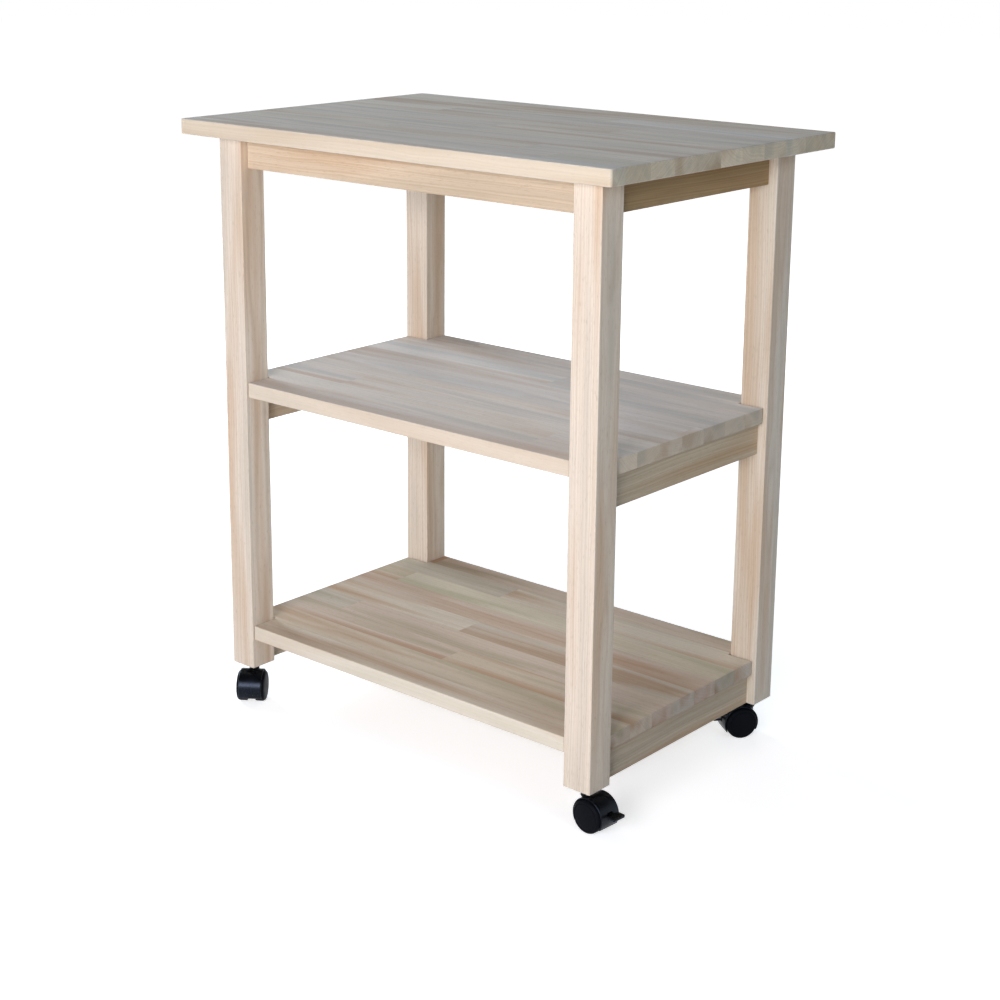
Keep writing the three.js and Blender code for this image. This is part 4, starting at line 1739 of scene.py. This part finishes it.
    def pedal(self) -> None:
        """Makes the brake pedal: a ribbed plate behind the hood on a forked arm."""
        black = self.finishes.hood
        pivot, height = self.trail + self.pivot_reach, self.wheel_radius + self.pivot_rise
        start, tip = self.trail + self.plate_start, self.trail + self.plate_tip
        span = (0, self.plate_thickness)
        plate = slab((tip - start, self.plate_width), span, self.plate_corners, self.plate_ease)
        *grip_size, grip_height = self.grip_size
        grip = slab(grip_size, (0, grip_height), self.grip_corners, self.grip_ease)
        top = height + self.plate_thickness - self.grip_sink
        places = [((start + reach, 0, top), 0.0) for reach in self.grip_reaches]
        grips = set_on_points(self.trees["set_out"], grip, places, (0.0, 0.0, 0.0), 1, black)
        parts = [moved(plate, shift=((start + tip) / 2, 0, height)), grips]
        ahead, aside = self.arm_place
        for sign in (-1, 1):
            arm = slab(self.arm_size, span, self.arm_corners, self.arm_ease)
            parts.append(moved(arm, shift=(pivot + ahead, sign * aside, height)))
            eye = self.drum(self.eye_radius, *self.eye_span, self.hub_sides)
            parts.append(moved(eye, (-90 * sign, 0, 0), (pivot, 0, height)))
        bridge = slab(self.bridge_size, span, self.arm_corners, self.arm_ease)
        parts.append(moved(bridge, shift=(self.trail + self.bridge_reach, 0, height)))
        pin = self.drum(self.pin_radius, -self.pin_half, self.pin_half, self.pin_sides)
        parts.append(moved(pin, (90, 0, 0), (pivot, 0, height)))
        name = f"pedal_{self.corner}"
        self.moulded(name, f"brake_{name}", joined(*parts), Slot.HOOD)

    def drum(self, radius: float, low: float, high: float, steps: int) -> Mesh:
        """Makes a plain nylon cylinder about Z, from its radius, heights and number of sides."""
        profile = [(0, low), (radius, low), (radius, high), (0, high)]
        return self.round_piece(profile, steps, self.finishes.hood)


# ---- The studio ----


@dataclass(frozen=True)
class Lamp:
    """A square soft light."""

    name: str
    place: Place
    size: float
    watts: float
    colour: str = "#FFFFFF"
    target: Place = (0.0, 0.0, 0.45)

    def build(self) -> None:
        """Hangs the lamp."""
        data = bpy.data.lights.new(self.name, "AREA")
        data.shape = "SQUARE"
        data.size = self.size
        data.energy = self.watts
        data.color = linear(self.colour)[:3]
        lamp = put_in_scene(self.name, data)
        lamp.location = self.place
        way = Vector(self.target) - Vector(self.place)
        lamp.rotation_euler = way.to_track_quat("-Z", "Y").to_euler()
        lamp.visible_camera = False


@dataclass
class Studio:
    """A pale floor without an edge, soft lamps, and the camera that took the photograph."""

    camera_place: Place = (1.491700, -1.759934, 1.023495)
    camera_turn_deg: Place = (75.474192, -0.346796, 40.870126)
    lens_mm: float = 69.159297
    sensor_mm: float = 36.0
    shift: Point = (0.016976, -0.105290)
    floor_half: float = 12.0
    floor_colour: str = "#E9E9E9"
    floor_lift: float = 0.62
    floor_fade: Point = (0.7, 2.2)  # where the lift starts to rise, and where it is full
    ambient: float = 0.08
    backdrop_rise: Point = (0.35, 0.65)  # the height's sine where the backdrop dims, and is dim
    lamps: tuple[Lamp, ...] = (
        Lamp("key", (0.42, -2.2, 1.0), 0.8, 24.8, "#F7F3FF"),
        Lamp("front_right", (1.8, -3.6, 1.3), 1.1, 63.0, "#FFFFFA"),
        Lamp("right_high", (3.4, -1.0, 2.6), 1.4, 25.0, "#C8E3FF"),
        Lamp("left", (-3.2, 0.3, 1.6), 1.4, 98.0, "#DBEDFF"),
        Lamp("rear", (-1.8, 2.4, 1.9), 1.4, 13.5),
    )

    def build(self) -> None:
        """Makes the camera, the lamps, the floor and the world."""
        self.camera()
        for lamp in self.lamps:
            lamp.build()
        self.floor()
        self.world()
        bpy.context.scene.view_settings.view_transform = "Standard"

    def camera(self) -> None:
        """Sets up the camera."""
        data = bpy.data.cameras.new("camera")
        data.sensor_width = self.sensor_mm
        data.lens = self.lens_mm
        data.shift_x, data.shift_y = self.shift
        camera = put_in_scene("camera", data)
        camera.location = self.camera_place
        camera.rotation_euler = [math.radians(a) for a in self.camera_turn_deg]
        bpy.context.scene.camera = camera

    def unlit_rays(self, tree: Tree) -> Socket:
        """Finds the rays that show the plain background: from the camera, a mirror or glass.

        Args:
            tree: the material's or the world's tree.

        Returns:
            1 for such a ray and 0 for any other.
        """
        path = add_node(tree, "ShaderNodeLightPath").outputs
        seen = path["Is Camera Ray"]
        for kind in ("Is Glossy Ray", "Is Transmission Ray"):
            either = add_node(tree, MATH, {0: seen, 1: path[kind]}, operation="MAXIMUM")
            seen = either.outputs[0]
        return seen

    def floor(self) -> None:
        """Makes the floor, lifted to white for the camera under its light and shadows."""
        half = self.floor_half
        mesh = bpy.data.meshes.new("floor")
        corners = [(-half, -half, 0), (half, -half, 0), (half, half, 0), (-half, half, 0)]
        mesh.from_pydata(corners, [], [(0, 1, 2, 3)])
        floor = put_in_scene("floor", mesh)
        material, tree = new_material("pale studio floor")
        place = add_node(tree, "ShaderNodeTexCoord").outputs["Object"]
        reach = add_node(tree, VECTOR, {0: place}, operation="LENGTH")
        near, far = self.floor_fade
        fade = {"From Min": near, "From Max": far, "To Min": self.floor_lift, "To Max": 1.0}
        rise = add_node(tree, RANGE, {"Value": reach.outputs["Value"], **fade})
        both = {0: self.unlit_rays(tree), 1: rise.outputs["Result"]}
        lift = add_node(tree, MATH, both, operation="MULTIPLY").outputs[0]
        glow = add_node(tree, "ShaderNodeEmission", {"Strength": lift}).outputs[0]
        matt = add_node(tree, "ShaderNodeBsdfDiffuse", {"Color": linear(self.floor_colour)})
        lit = add_node(tree, "ShaderNodeAddShader", {0: matt.outputs["BSDF"], 1: glow}).outputs[0]
        add_node(tree, "ShaderNodeOutputMaterial", {"Surface": lit})
        mesh.materials.append(material)

    def world(self) -> None:
        """Makes the surroundings: a white backdrop where they are seen, dim overhead."""
        world = bpy.data.worlds.new("studio")
        bpy.context.scene.world = world
        world.use_nodes = True
        tree = world.node_tree
        tree.nodes.clear()
        way = add_node(tree, "ShaderNodeTexCoord").outputs["Generated"]
        height = add_node(tree, "ShaderNodeSeparateXYZ", {0: way}).outputs["Z"]
        low, high = self.backdrop_rise
        fade = {"From Min": low, "From Max": high, "To Min": 1.0, "To Max": self.ambient}
        backdrop = add_node(tree, RANGE, {"Value": height, **fade})
        camera = add_node(tree, "ShaderNodeLightPath").outputs["Is Camera Ray"]
        either = {0: camera, 1: backdrop.outputs["Result"]}
        seen = add_node(tree, MATH, either, operation="MAXIMUM").outputs[0]
        light = {0: self.unlit_rays(tree), 2: self.ambient, 3: seen}
        strength = add_node(tree, MIX, light, data_type="FLOAT").outputs[0]
        backdrop_light = {"Strength": strength, "Color": linear("#FFFFFF")}
        sky = add_node(tree, "ShaderNodeBackground", backdrop_light).outputs[0]
        add_node(tree, "ShaderNodeOutputWorld", {"Surface": sky})


# ---- The cart ----

CASTERS = (  # each one's corner, heading in degrees, and whether it has a brake
    ("front_left", -54.0, False),
    ("front_right", -4.0, True),
    ("rear_left", 150.0, False),
    ("rear_right", -126.0, True),
)


def main() -> None:
    """Builds the studio and the cart."""
    logging.basicConfig(level=logging.INFO, format="%(message)s")
    Studio().build()
    finishes = Finishes()
    trees = {
        "turned": turned_tree(),
        "hood": hood_tree(),
        "spokes": spoke_tree(),
        "set_out": fastener_tree(),
    }
    Worktop(finishes).build()
    PostFrame(finishes).build()
    Shelves(finishes).build()
    CornerFixings(finishes, trees).build()
    for corner, heading, braked in CASTERS:
        Caster(finishes, trees, corner, heading, braked).build()


if __name__ == "__main__":
    main()
